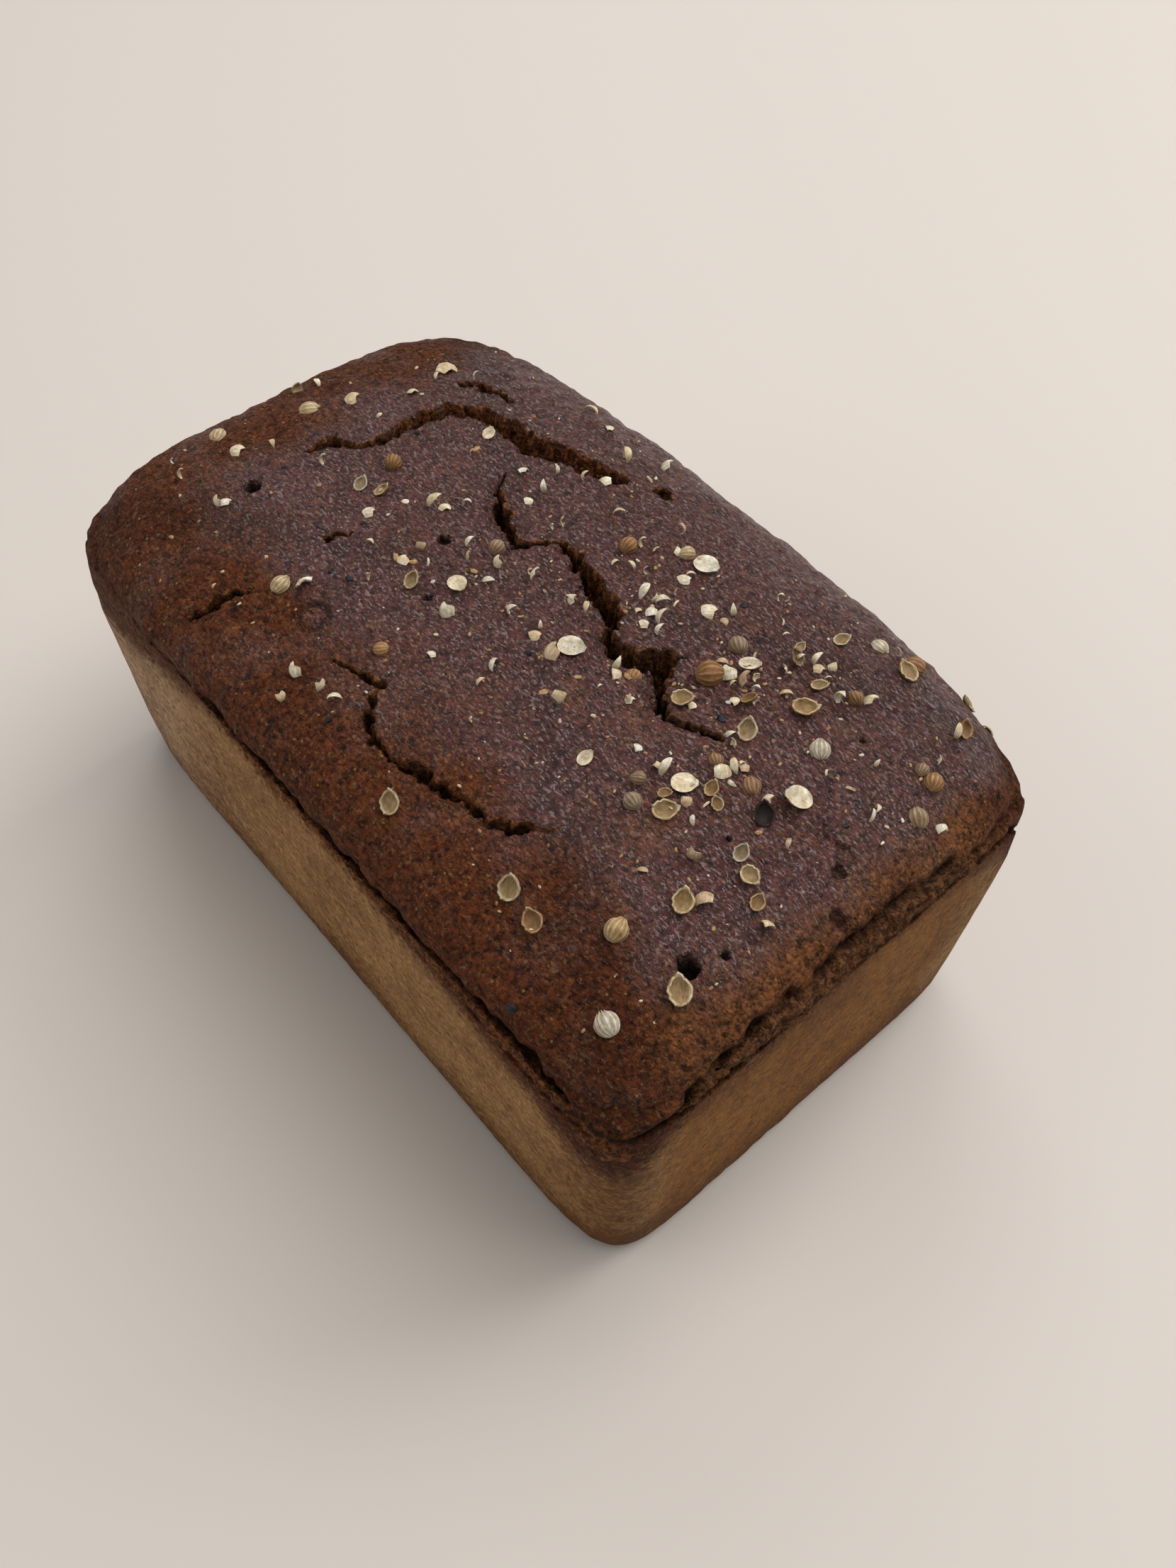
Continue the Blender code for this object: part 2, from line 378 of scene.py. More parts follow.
# Where the browned crust fades into the tan wall: bearing and height.
BROWN_LINE = [
    (-180, 58), (-150, 56), (-135, 46), (-126.5, 51), (-121.7, 54.5), (-116, 56.5), (-110, 58.5),
    (-104, 61), (-90, 60.5), (-75, 58.5), (-60, 55), (-52, 52), (-47, 46), (-43, 47), (-38, 56),
    (-25, 56.5), (-12, 57), (0, 59), (12, 59.8), (22, 60), (35, 58), (41, 47), (45, 38), (50, 45),
    (60, 55), (90, 58),
]


# Scorched patches: place and radius in millimetres.
SCORCHED = [
    (-17, -45, 2.5), (-7, -47, 4), (3, -49, 3), (0, -37, 1.5), (-42, -30, 1.8), (-50, -26, 1.3),
    (-45, -22, 1.5), (-39, -19, 2), (-69, 21, 3), (-60, -2, 2), (60, 44, 2), (30, -45, 1.5),
]


def round_the_loaf(table, bearing, column):
    """A value from a table of bearings, at any bearing."""
    return np.interp(bearing, [row[0] for row in table], [row[column] for row in table], period=360)


def row_heights():
    """Height of each row under the dome's grid, down to the rounded bottom edge."""
    top = LIP_HEIGHT + DOME_RISE * math.sqrt(1 - SHOULDER_SHARE**SHOULDER_FULLNESS)
    heights = list(np.linspace(top, FOLD_LOW, FOLD_ROWS + 1)[1:])
    heights += list(np.linspace(FOLD_LOW, BASE_ROUNDING, WALL_ROWS + 1)[1:])
    for i in range(1, ROUNDING_ROWS + 1):
        heights.append(BASE_ROUNDING * (1 - math.sin(0.5 * math.pi * i / ROUNDING_ROWS)))
    return np.array(heights)


def plan_at(height):
    """Half length and half width of the plan at each height, from the base to the shoulder."""
    wall = np.clip(height / RIM_HEIGHT, 0, 1)
    lip = ramp(height, RIM_HEIGHT, LIP_HEIGHT)
    climb = np.clip((height - LIP_HEIGHT) / DOME_RISE, 0, 1)
    share = (1 - climb**2) ** (1 / SHOULDER_FULLNESS)
    low = np.clip(1 - height / BASE_ROUNDING, 0, 1)
    inset = BASE_ROUNDING * (1 - np.sqrt(1 - low**2))
    long = LIP_HALF_LENGTH - (1 - lip) * LIP_OVERHANG - (1 - wall) * WALL_LEAN_LONG
    wide = LIP_HALF_WIDTH - (1 - lip) * LIP_OVERHANG - (1 - wall) * WALL_LEAN_WIDE
    return share * long - inset, share * wide - inset


flat = points_of(loaf)
row = np.rint(-flat[:, 2]).astype(int)
on_dome = row == 0
skin = np.empty_like(flat)
skin[on_dome] = dome_places(flat[on_dome, 0], flat[on_dome, 1])
u, v = flat[~on_dome, 0], flat[~on_dome, 1]
height = row_heights()[row[~on_dome] - 1]
half_length, half_width = plan_at(height)
squareness = squareness_at(height)
reach = (np.abs(u) ** squareness + np.abs(v) ** squareness) ** (1 / squareness)
skin[~on_dome] = np.stack([half_length * u / reach, half_width * v / reach, height], 1)

# At the near corner the crust swelled out as far as the wall below it.
bearing = np.degrees(np.arctan2(flat[:, 1], flat[:, 0]))
swollen = np.exp(-(((bearing + 45) / 8) ** 2)) * ramp(skin[:, 2], 60.5 * MM, 62.5 * MM)
swollen *= ramp(-skin[:, 2], -74 * MM, -64.5 * MM)
skin[:, 0] += 2.7 * MM * swollen
skin[:, 1] -= 1.9 * MM * swollen
move_points(loaf, skin)

outward = normals_of(loaf) * (1, 1, 0)
outward /= np.maximum(np.linalg.norm(outward, axis=1), 1e-6)[:, None]
side_on = ramp(-skin[:, 2], -75 * MM, -71 * MM)
ground = skin * (1, 1, 0)
ragged = 0.9 * lumps(ground, 8 * MM, 11)
ragged += 0.4 * lumps(ground, 3.1 * MM, 12)
ragged += 0.4 * lumps(ground, 1.3 * MM, 13)
height_before = skin[:, 2].copy()
drawn_in = np.zeros(len(skin))
drawn_down = np.zeros(len(skin))
shade = np.zeros(len(skin))
for seed, fold in enumerate((UPPER_FOLD, LOWER_FOLD)):
    line = round_the_loaf(fold, bearing, 1) + (0.8 + 0.2 * seed) * ragged
    depth = round_the_loaf(fold, bearing, 2) * (1 + 1.3 * lumps(ground, 5 * MM, 14 + seed, 2))
    depth = np.maximum(depth, 0) * side_on
    below = line - height_before / MM
    notch = np.exp(-(((below - 0.45) / 0.5) ** 2))
    crust_edge = 0.30 * ramp(below, -4.0, 0.0) * (1 - ramp(below, 0.2, 1.0))
    ledge = ramp(below, 0.3, 1.0) * (0.20 - 0.20 * ramp(below, 1.0, 4.0))
    crest = 0.15 * np.exp(-(((below - 1.7) / 0.8) ** 2))
    drawn_in += depth * (0.75 * notch + crust_edge + ledge - crest)
    drawn_down += depth * 1.15 * notch
    # Painted shade in the crevice under each fold.
    shade = np.maximum(shade, np.minimum(1, depth / 1.5) * np.exp(-(((below - 0.35) / 0.75) ** 2)))
skin -= outward * (drawn_in * MM)[:, None]
skin[:, 2] -= drawn_down * MM
original = height_before / MM
upper_line = round_the_loaf(UPPER_FOLD, bearing, 1) + 0.8 * ragged
lower_line = round_the_loaf(LOWER_FOLD, bearing, 1) + ragged
at_near_end = ramp(bearing, -41, -34) * ramp(-bearing, -36, -28)
on_near_side = ramp(bearing, -112, -100) * ramp(-bearing, 41, 47)
torn_strip = ramp(upper_line - original, -0.3, 0.6) * ramp(original - lower_line, -0.8, 0.4)
torn_strip *= np.maximum(at_near_end, 0.8 * on_near_side)
corner_patch = np.exp(-(((bearing + 45) / 3.6) ** 2))
corner_patch *= ramp(original, 46, 53) * ramp(-original, -62.5, -60.5)
torn_strip = np.maximum(torn_strip, corner_patch)
# Painted shadow on the wall just below the near corner's overhanging lip.
shadow_under_corner = np.exp(-(((bearing + 45) / 4.5) ** 2))
shadow_under_corner *= np.exp(-(((original - 57.5 + 0.8 * ragged) / 1.4) ** 2))
shade = np.maximum(shade, 0.95 * shadow_under_corner)


# The uneven skin: slow swellings, lumps and bran grain on the dome, and a smoother tin wall.
move_points(loaf, skin)
normals = normals_of(loaf)
free = ramp(skin[:, 2], RIM_HEIGHT - 4 * MM, RIM_HEIGHT + 2 * MM)
leathery = np.exp(-(((skin[:, 0] - 68 * MM) / (11 * MM)) ** 2))
leathery *= np.exp(-(((skin[:, 1] + 12 * MM) / (24 * MM)) ** 2))
warped = skin + 1.2 * MM * np.stack([lumps(skin, 5 * MM, 21), lumps(skin, 5 * MM, 22), 0 * bearing], 1)
relief = 0.40 * lumps(ground, 26 * MM, 1) * free
relief += 0.32 * lumps(skin, 9 * MM, 2) * free
relief += 0.34 * lumps(skin, 3.8 * MM, 3) * (0.15 + 0.85 * free)
relief += 0.25 * lumps(skin, 1.9 * MM, 4) * (0.30 + 0.70 * free)
relief += 1.10 * (np.abs(lumps(warped, 5.5 * MM, 5)) - 0.3) * leathery
relief += 0.20 * lumps(skin, 34 * MM, 6) * (1 - free)
relief += (0.55 * lumps(skin, 3.4 * MM, 7) + 0.75 * lumps(skin, 1.6 * MM, 8, 2)) * torn_strip
relief -= 0.45 * ramp(skin[:, 2], 71 * MM, 77 * MM)
relief *= ramp(skin[:, 2], 0.0, 3 * MM)
smooth_dome = skin[on_dome].copy()
skin = skin + normals * (relief * MM)[:, None]

# The tears and blow holes: steep walls, a crumbly floor and a fringe of torn crust round them,
# with painted shade in their narrow parts and depths.
sink = np.zeros(len(smooth_dome))
torn = np.zeros(len(smooth_dome))
raised = np.zeros(len(smooth_dome))
crack_shade = np.zeros(len(smooth_dome))
for tear in TEARS.values():
    index = np.flatnonzero(near_line(smooth_dome, tear["line"], 7 * MM))
    inside, side, opening = inside_tear(smooth_dome[index], tear)
    rough = 1 + 0.6 * lumps(smooth_dome[index], 2.4 * MM, tear["seed"] + 4)
    rough += 0.5 * lumps(smooth_dome[index], 1.0 * MM, 5, 2)
    depth = tear["depth"] * np.minimum(1, opening / 2.2)
    steep = ramp(inside, -0.05 * MM, np.where(side > 0, 0.30, 0.5) * MM)
    deeper = 0.40 + 0.60 * ramp(inside, 0.10 * MM, 0.40 * opening * MM)
    gentle = tear["gentle"] * np.minimum(1, opening / 2.2)
    sag = 0.55 * gentle * ramp(inside, -(gentle + 0.01) * MM, 0.2 * MM) * (side < 0)
    sink[index] = np.maximum(sink[index], depth * steep * deeper * rough + sag)
    fringe = np.where(side > 0, -0.35, -0.1) * np.minimum(2, opening)
    if tear["crack_shade"] > 0:
        torn[index] = np.maximum(torn[index], ramp(inside, fringe * MM, 0.15 * MM))
    # Painted shade, near-black, in the narrow parts of a tear and in pockets of its floor.
    narrow = tear["crack_shade"] * (1 - ramp(opening, 1.9, 2.8)) * ramp(inside, 0.0, 0.25 * MM)
    pocket = ramp(lumps(smooth_dome[index], 2.8 * MM, tear["seed"] + 6), 0.1, 0.6)
    pocket *= ramp(inside, 0.3 * MM, 0.9 * MM)
    crack_shade[index] = np.maximum(crack_shade[index], np.maximum(narrow, 0.55 * pocket))
    lifted = np.exp(-(((inside + 0.8 * MM) / (0.7 * MM)) ** 2)) * (side > 0)
    raised[index] += 0.3 * np.minimum(1, opening / 2) * lifted
for x, y, radius, depth in BLOW_HOLES:
    distance = np.hypot(smooth_dome[:, 0] - x * MM, smooth_dome[:, 1] - y * MM) / (radius * MM)
    distance *= 1 + 0.22 * lumps(smooth_dome, radius * MM, int(100 + x), 2)
    sink = np.maximum(sink, depth * ramp(-distance, -1.05, -0.7))
    torn = np.maximum(torn, 0.4 * ramp(-distance, -1.15, -0.9))
    # Painted shade inside the blow holes.
    crack_shade = np.maximum(crack_shade, min(1, depth / 1.4) * ramp(-distance, -1.0, -0.8))
x, y, radius = SEED_DENT
from_middle = np.hypot(smooth_dome[:, 0] - x * MM, smooth_dome[:, 1] - y * MM) / MM
ring = np.exp(-(((from_middle - radius) / 0.55) ** 2))
sink += 1.0 * ring + 0.3 * ramp(-from_middle, -radius, 0.5 - radius)
# Painted shade on one side of the ring's trough.
crack_shade = np.maximum(crack_shade, 0.5 * ring * ramp(smooth_dome[:, 1], y * MM, (y + 2) * MM))
for axis, seed in ((0, 91), (1, 92)):
    skin[on_dome, axis] += lumps(smooth_dome, 1.3 * MM, seed, 2) * 0.7 * ramp(sink, 0.4, 2.0) * MM
skin[on_dome, 2] += (raised * (1 - ramp(sink, 0, 0.5)) - sink) * MM
move_points(loaf, skin)

# What the finish needs to know of each point.
torn_all = 0.75 * torn_strip
torn_all[on_dome] = np.maximum(torn_all[on_dome], torn)
# Painted shade for the finish: fold crevices, under the near corner, narrow tears, holes and deep
# sinks.
painted_shade = shade
painted_shade[on_dome] = np.maximum(painted_shade[on_dome], np.maximum(crack_shade, 0.6 * ramp(sink, 3.2, 6.5)))
brown_line = round_the_loaf(BROWN_LINE, bearing, 1) + 1.6 * lumps(ground, 9 * MM, 71, 2)
browned = ramp(original - brown_line, -9.0, 5.0)
# The glazed dome: real gloss, and also where sheen is painted into the colour as a bluish tint and
# glints.
glaze_and_sheen = ramp(skin[:, 1], -38 * MM, -18 * MM) * ramp(skin[:, 2], LIP_HEIGHT, LIP_HEIGHT + 8 * MM)
glaze_and_sheen *= ramp(skin[:, 0], -72 * MM, -44 * MM) * ramp(-skin[:, 0], -79 * MM, -70 * MM)
glaze_and_sheen = np.clip(glaze_and_sheen + 0.45 * lumps(ground, 14 * MM, 73, 2) * (skin[:, 2] > LIP_HEIGHT), 0, 1)
at_corner = np.exp(-(((np.abs(np.abs(bearing) - 90) - 45) / 5) ** 2))
scorched = np.zeros(len(skin))
for x, y, radius in SCORCHED:
    distance = np.hypot(skin[:, 0] - x * MM, skin[:, 1] - y * MM)
    patch = 0.8 * np.exp(-((distance / (radius * MM)) ** 2)) * (skin[:, 2] > RIM_HEIGHT)
    scorched = np.maximum(scorched, patch)
marks = {
    "torn": torn_all,
    "painted_shade": painted_shade,
    "browned": browned,
    "glaze_and_sheen": glaze_and_sheen,
    "near_end": at_near_end,
    "corner": at_corner,
    "scorched": scorched,
}
for name, values in marks.items():
    add_mark(loaf, name, values)
only(loaf)
bpy.ops.object.shade_smooth()


# ---- The loaf: its finish -------------------------------------------------------------------
# Dark crust with a faint gloss on the dome, full of bran grain and ochre flecks, warmer on the
# shoulders and crumbly brown where it is torn. On the glazed dome a bluish cocoa tint is partly
# painted sheen, and pale strokes are painted glints. Where it lay on the tin it is matt tan.

# Cocoa with a bluish tint of painted sheen; the glint colour is a painted highlight.
SHEENED_COCOA = (0.124, 0.036, 0.029, 1)
GLINT = (0.520, 0.380, 0.360, 1)
CHESTNUT = (0.136, 0.034, 0.008, 1)
END_CRUST = (0.250, 0.092, 0.030, 1)
CRUMB = (0.400, 0.138, 0.043, 1)
END_CRUMB = (0.300, 0.125, 0.046, 1)
CRUMB_DARK = (0.075, 0.024, 0.008, 1)
TAN = (0.520, 0.298, 0.116, 1)
FAR_TAN = (0.680, 0.470, 0.295, 1)
TAN_BROWN = (0.150, 0.058, 0.016, 1)
END_TAN = (0.466, 0.207, 0.045, 1)
CHAR = (0.010, 0.008, 0.010, 1)
FLECK = (0.420, 0.220, 0.085, 1)
# The near-black of painted shade.
SHADE_BLACK = (0.006, 0.002, 0.001, 1)


def node(tree, kind, inputs=None, **settings):
    """Add a shader node, with values or links for its inputs."""
    made = tree.nodes.new("ShaderNode" + kind)
    for name, value in settings.items():
        setattr(made, name, value)
    for name, value in (inputs or {}).items():
        if isinstance(value, bpy.types.NodeSocket):
            tree.links.new(value, made.inputs[name])
        else:
            made.inputs[name].default_value = value
    return made


def calc(tree, operation, *values, clamp=False):
    """The result of a sum on numbers or sockets."""
    return node(tree, "Math", dict(enumerate(values)), operation=operation, use_clamp=clamp).outputs[0]


def between(tree, value, low, high):
    """0 up to low, 1 from high, smooth between: a mask from a value."""
    limits = {"Value": value, "From Min": low, "From Max": high}
    return node(tree, "MapRange", limits, interpolation_type="SMOOTHSTEP").outputs["Result"]


def blend(tree, share, first, second, how="MIX"):
    """One colour laid over another by a share."""
    inputs = {0: share, 6: first, 7: second}
    return node(tree, "Mix", inputs, data_type="RGBA", blend_type=how).outputs[2]


def in_mm(tree):
    """Places on the piece in millimetres."""
    own = node(tree, "TexCoord").outputs["Object"]
    return node(tree, "Mapping", {"Vector": own, "Scale": (1000, 1000, 1000)}).outputs["Vector"]


def mottle(tree, where, size, detail=2.0, rough=0.5):
    """Cloudy values with patches of the given size in millimetres."""
    inputs = {"Vector": where, "Scale": 1 / size, "Detail": detail, "Roughness": rough}
    return node(tree, "TexNoise", inputs).outputs["Fac"]


def specks(tree, where, size, share, radius):
    """A mask of round specks: the size of their cells, the share filled and their radius."""
    cells = node(tree, "TexVoronoi", {"Vector": where, "Scale": 1 / size})
    drawn = node(tree, "SeparateColor", {0: cells.outputs["Color"]}).outputs[0]
    filled = between(tree, drawn, 1 - share - 0.01, 1 - share + 0.01)
    near = calc(tree, "SUBTRACT", 1.0, between(tree, cells.outputs["Distance"], 0.6 * radius, radius))
    return calc(tree, "MULTIPLY", filled, near)


def mark_of(tree, name):
    """A value that the mesh carries at each point."""
    return node(tree, "Attribute", attribute_name=name).outputs["Fac"]


def material(name, roughness, specular=0.5):
    """A new material, its node tree and its shader."""
    made = bpy.data.materials.new(name)
    made.use_nodes = True
    shader = made.node_tree.nodes["Principled BSDF"]
    shader.inputs["Roughness"].default_value = roughness
    shader.inputs["Specular IOR Level"].default_value = specular
    return made, made.node_tree, shader


crust, tree, shader = material("rye crust", 0.6, 0.5)
where = in_mm(tree)
torn_mark = mark_of(tree, "torn")
glaze_and_sheen_mark = mark_of(tree, "glaze_and_sheen")

# The crust: chestnut, and cocoa where it is glazed, the cocoa's bluish tint partly painted sheen;
# each grain of its own tone, with flecks.
grain = node(tree, "TexVoronoi", {"Vector": where, "Scale": 1 / 0.6})
grain_tone = node(tree, "SeparateColor", {0: grain.outputs["Color"]})
patches = calc(tree, "MULTIPLY_ADD", mottle(tree, where, 8, 4, 0.6), 1.8, -0.9)
sheened_cocoa_share = between(tree, calc(tree, "ADD", glaze_and_sheen_mark, patches), 0.0, 1.0)
end_share = calc(tree, "MULTIPLY", mark_of(tree, "near_end"), 0.8)
crust_colour = blend(tree, end_share, CHESTNUT, END_CRUST)
crust_colour = blend(tree, sheened_cocoa_share, crust_colour, SHEENED_COCOA)
tone = calc(tree, "MULTIPLY_ADD", grain_tone.outputs[0], 0.8, 0.60)
coarse = calc(tree, "MULTIPLY_ADD", mottle(tree, where, 2.4, 5, 0.75), 2.5, -0.25)
tone = calc(tree, "MULTIPLY", tone, calc(tree, "MAXIMUM", coarse, 0.25))
# Painted shade between the grains: the tone drops in a network of narrow gaps.
grain_gap_shade = between(tree, mottle(tree, where, 1.25, 4, 0.7), 0.36, 0.52)
tone = calc(tree, "MULTIPLY", tone, calc(tree, "MULTIPLY_ADD", grain_gap_shade, 0.80, 0.30))
tone = calc(tree, "MULTIPLY", tone, calc(tree, "MULTIPLY_ADD", mark_of(tree, "corner"), -0.3, 1.0))
tone_colour = node(tree, "CombineColor", {0: tone, 1: tone, 2: tone}).outputs[0]
crust_colour = blend(tree, 1.0, crust_colour, tone_colour, "MULTIPLY")
drawn_out = {"Vector": where, "Rotation": (0.3, 0.2, 0.7), "Scale": (1.0, 2.2, 1.6)}
strokes = node(tree, "Mapping", drawn_out)
# Painted glints: pale mauve strokes in the base colour stand in for highlights of the lamps, mostly on
# the glazed dome.
glints = between(tree, mottle(tree, strokes.outputs["Vector"], 1.0, 3, 0.7), 0.555, 0.60)
glint_share = calc(tree, "MULTIPLY", glints, calc(tree, "MULTIPLY_ADD", glaze_and_sheen_mark, 0.64, 0.06))
crust_colour = blend(tree, glint_share, crust_colour, GLINT)
bran = between(tree, mottle(tree, where, 0.9, 3, 0.6), 0.59, 0.66)
crust_colour = blend(tree, calc(tree, "MULTIPLY", bran, 0.40), crust_colour, FLECK)
for size, share, radius in ((1.5, 0.16, 0.19), (2.8, 0.14, 0.13)):
    flecks = calc(tree, "MULTIPLY", specks(tree, where, size, share, radius), 0.85)
    crust_colour = blend(tree, flecks, crust_colour, FLECK)

# Torn crumb, rusty at its edges, mottled between lit and shaded crumb as painted light and shade;
# the black in its depths is painted shade, laid on after the wall.
crumb_light = blend(tree, mark_of(tree, "near_end"), CRUMB, END_CRUMB)
# Painted light and shade: the crumb is mottled at random between a lit and a shaded copy of its
# colour.
crumb_lit = between(tree, mottle(tree, where, 1.1, 5, 0.75), 0.42, 0.60)
crumb_colour = blend(tree, crumb_lit, CRUMB_DARK, crumb_light)
crumb_share = calc(tree, "MULTIPLY_ADD", mottle(tree, where, 1.4, 3), 1.2, -0.6)
crumb_share = between(tree, calc(tree, "ADD", torn_mark, crumb_share), 0.30, 0.60)
crust_colour = blend(tree, crumb_share, crust_colour, crumb_colour)

# The wall that lay on the tin: tan, mottled, browner at the near end, corners and bottom edge.
wall_patches = between(tree, mottle(tree, where, 14, 4, 0.6), 0.36, 0.70)
wall_fine = calc(tree, "MULTIPLY_ADD", mottle(tree, where, 1.5, 5, 0.8), 3.2, -1.1)
height_mm = node(tree, "SeparateXYZ", {0: where}).outputs["Z"]
low_edge = calc(tree, "SUBTRACT", 1.0, between(tree, height_mm, 0.0, 20.0))
wall_share = calc(tree, "MULTIPLY_ADD", wall_fine, 0.75, calc(tree, "MULTIPLY", wall_patches, 0.30))
wall_share = calc(tree, "MULTIPLY_ADD", low_edge, 0.45, wall_share)
wall_share = calc(tree, "MULTIPLY_ADD", mark_of(tree, "near_end"), 0.12, wall_share)
wall_share = calc(tree, "MULTIPLY_ADD", mark_of(tree, "corner"), 0.35, wall_share, clamp=True)
far_share = between(tree, node(tree, "SeparateXYZ", {0: where}).outputs["X"], -15.0, -75.0)
wall_colour = blend(tree, far_share, TAN, FAR_TAN)
wall_colour = blend(tree, mark_of(tree, "near_end"), wall_colour, END_TAN)
wall_colour = blend(tree, wall_share, wall_colour, TAN_BROWN)
wall_grain = calc(tree, "MULTIPLY_ADD", grain_tone.outputs[1], 0.5, 0.75)
wall_grain = node(tree, "CombineColor", {0: wall_grain, 1: wall_grain, 2: wall_grain}).outputs[0]
wall_colour = blend(tree, 1.0, wall_colour, wall_grain, "MULTIPLY")
for size, share, radius in ((2.6, 0.16, 0.28), (1.2, 0.20, 0.30)):
    pores = calc(tree, "MULTIPLY", specks(tree, where, size, share, radius), 0.6)
    wall_colour = blend(tree, pores, wall_colour, CRUMB_DARK)

ragged_edge = calc(tree, "MULTIPLY_ADD", mottle(tree, where, 1.6, 5, 0.8), 2.6, -1.3)
brown_share = between(tree, calc(tree, "ADD", mark_of(tree, "browned"), ragged_edge), 0.05, 0.95)
colour = blend(tree, brown_share, wall_colour, crust_colour)
char_edge = calc(tree, "MULTIPLY_ADD", mottle(tree, where, 1.6, 4, 0.7), 3.4, -1.9)
char_share = between(tree, calc(tree, "ADD", mark_of(tree, "scorched"), char_edge), 0.45, 0.8)
colour = blend(tree, calc(tree, "MULTIPLY", char_share, 0.75), colour, CHAR)
# Painted shade: near-black in fold crevices, narrow tears, holes and deep sinks, and below the near
# corner's lip.
colour = blend(tree, calc(tree, "MULTIPLY", mark_of(tree, "painted_shade"), 0.9), colour, SHADE_BLACK)
tree.links.new(colour, shader.inputs["Base Color"])

# Glossy on the glazed top, matt where it is torn or lay on the tin.
shine = calc(tree, "MULTIPLY", glaze_and_sheen_mark, calc(tree, "SUBTRACT", 1.0, torn_mark))
shine = calc(tree, "MULTIPLY", shine, brown_share)
gloss = calc(tree, "MULTIPLY_ADD", mottle(tree, where, 1.5, 3, 0.7), -0.5, 0.98)
gloss = calc(tree, "MULTIPLY_ADD", shine, -0.36, gloss)
gloss = calc(tree, "MULTIPLY_ADD", calc(tree, "MULTIPLY", glints, shine), -0.26, gloss, clamp=True)
tree.links.new(gloss, shader.inputs["Roughness"])
tree.links.new(calc(tree, "MULTIPLY_ADD", shine, 0.50, 0.12), shader.inputs["Specular IOR Level"])

beads = calc(tree, "MULTIPLY", grain.outputs["Distance"], -0.6)
wrinkles = mottle(tree, strokes.outputs["Vector"], 1.6, 5, 0.65)
grain_height = calc(tree, "MULTIPLY_ADD", wrinkles, 3.2, beads)
strength = calc(tree, "MULTIPLY_ADD", brown_share, 0.40, 0.60)
bump = node(tree, "Bump", {"Height": grain_height, "Strength": strength, "Distance": 1.15 * MM})
tree.links.new(bump.outputs[0], shader.inputs["Normal"])

loaf.data.materials.append(crust)
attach(loaf, "root")
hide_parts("loaf")


# ---- The whole coriander seeds --------------------------------------------------------------
# Ribbed balls of about 4 mm, pressed a little into the crust before baking. Straw, brown and
# dusty grey. Each is one ball with its poles level, its grooves drawn in and a nub at one pole.

SEED_ACROSS = 4.0 * MM
RIBS = 12
# Place, size across, turn, all in millimetres and degrees, and tone: 0 grey-white, 0.2 cream,
# 0.4 straw, 0.6 tan, 0.8 brown, 1 dusty grey.
WHOLE_SEEDS = [
    (34, 10.5, 4.4, -33, 0.74), (32.5, 18.5, 3.2, 60, 0.97), (44.5, -15.5, 3.0, 80, 0.97),
    (42, -12, 2.3, 130, 0.93), (52, 41.5, 3.6, 117, 0.70), (70, 25, 3.2, 32, 0.60),
    (67.5, 25, 2.3, 20, 0.93), (47, -0.5, 2.4, 60, 0.86), (52, 26, 2.6, 67, 0.85),
    (58.5, -31, 3.6, 17, 0.40), (4, 20, 3.2, 10, 0.68), (-39.5, 1.5, 3.1, 40, 0.72),
    (-10, 2, 2.9, 20, 0.92), (11.5, 27, 2.8, 150, 0.30),
]


def ribbed_ball(name, rib):
    """A ball whose poles lie along Y, with thin ribs from pole to pole."""
    bpy.ops.object.select_all(action="DESELECT")
    bpy.ops.mesh.primitive_uv_sphere_add(
        segments=3 * RIBS, ring_count=12, radius=SEED_ACROSS / 2, rotation=(math.pi / 2, 0, 0)
    )
    ball = bpy.context.active_object
    ball.name = name
    bpy.ops.object.transform_apply(rotation=True)
    places = points_of(ball)
    turn = np.degrees(np.arctan2(places[:, 0], places[:, 2]))
    on_rib = np.rint(turn * 3 * RIBS / 360).astype(int) % 3 == 0
    at_pole = np.hypot(places[:, 0], places[:, 2]) < 0.05 * MM
    take_up(ball, vertices=on_rib & ~at_pole)
    bpy.ops.transform.shrink_fatten(value=rib)
    put_down()
    # Painted shade in the furrows between the ribs.
    add_mark(ball, "husk_shade", 0.5 * (~on_rib & ~at_pole))
    add_mark(ball, "pale", 0.16 * on_rib)
    return ball


def draw_out_nub(piece):
    """Draw the pole at the far end of Y out into a short nub."""
    places = points_of(piece)
    take_up(piece, vertices=places[:, 1] > 0.98 * SEED_ACROSS / 2)
    bpy.ops.transform.translate(value=(0, 0.35 * MM, 0))
    put_down()


def lay(shape, copies, x, y, size, turn, tone, sunk=0.0, lean=0, roll=0):
    """Add a copy of a shape at a place in millimetres, with its lowest point sunk in the crust."""
    hit, spot, normal, face = loaf.ray_cast((x * MM, y * MM, 0.12), (0, 0, -1))
    upward = Vector((0, 0, 1))
    upright = upward.rotation_difference(normal.lerp(upward, 0.3)).to_matrix().to_4x4()
    copy = shape.copy()
    copy.data = shape.data.copy()
    copy.data.transform(
        Matrix.Rotation(math.radians(turn), 4, "Z")
        @ Matrix.Rotation(math.radians(lean), 4, "X")
        @ Matrix.Rotation(math.radians(roll), 4, "Y")
        @ Matrix.Scale(size, 4)
    )
    lift = Vector((0, 0, -points_of(copy)[:, 2].min() - sunk * MM))
    copy.data.transform(Matrix.Translation(spot) @ upright @ Matrix.Translation(lift))
    add_mark(copy, "tone", np.full(len(copy.data.vertices), tone))
    bpy.context.scene.collection.objects.link(copy)
    copies.append(copy)


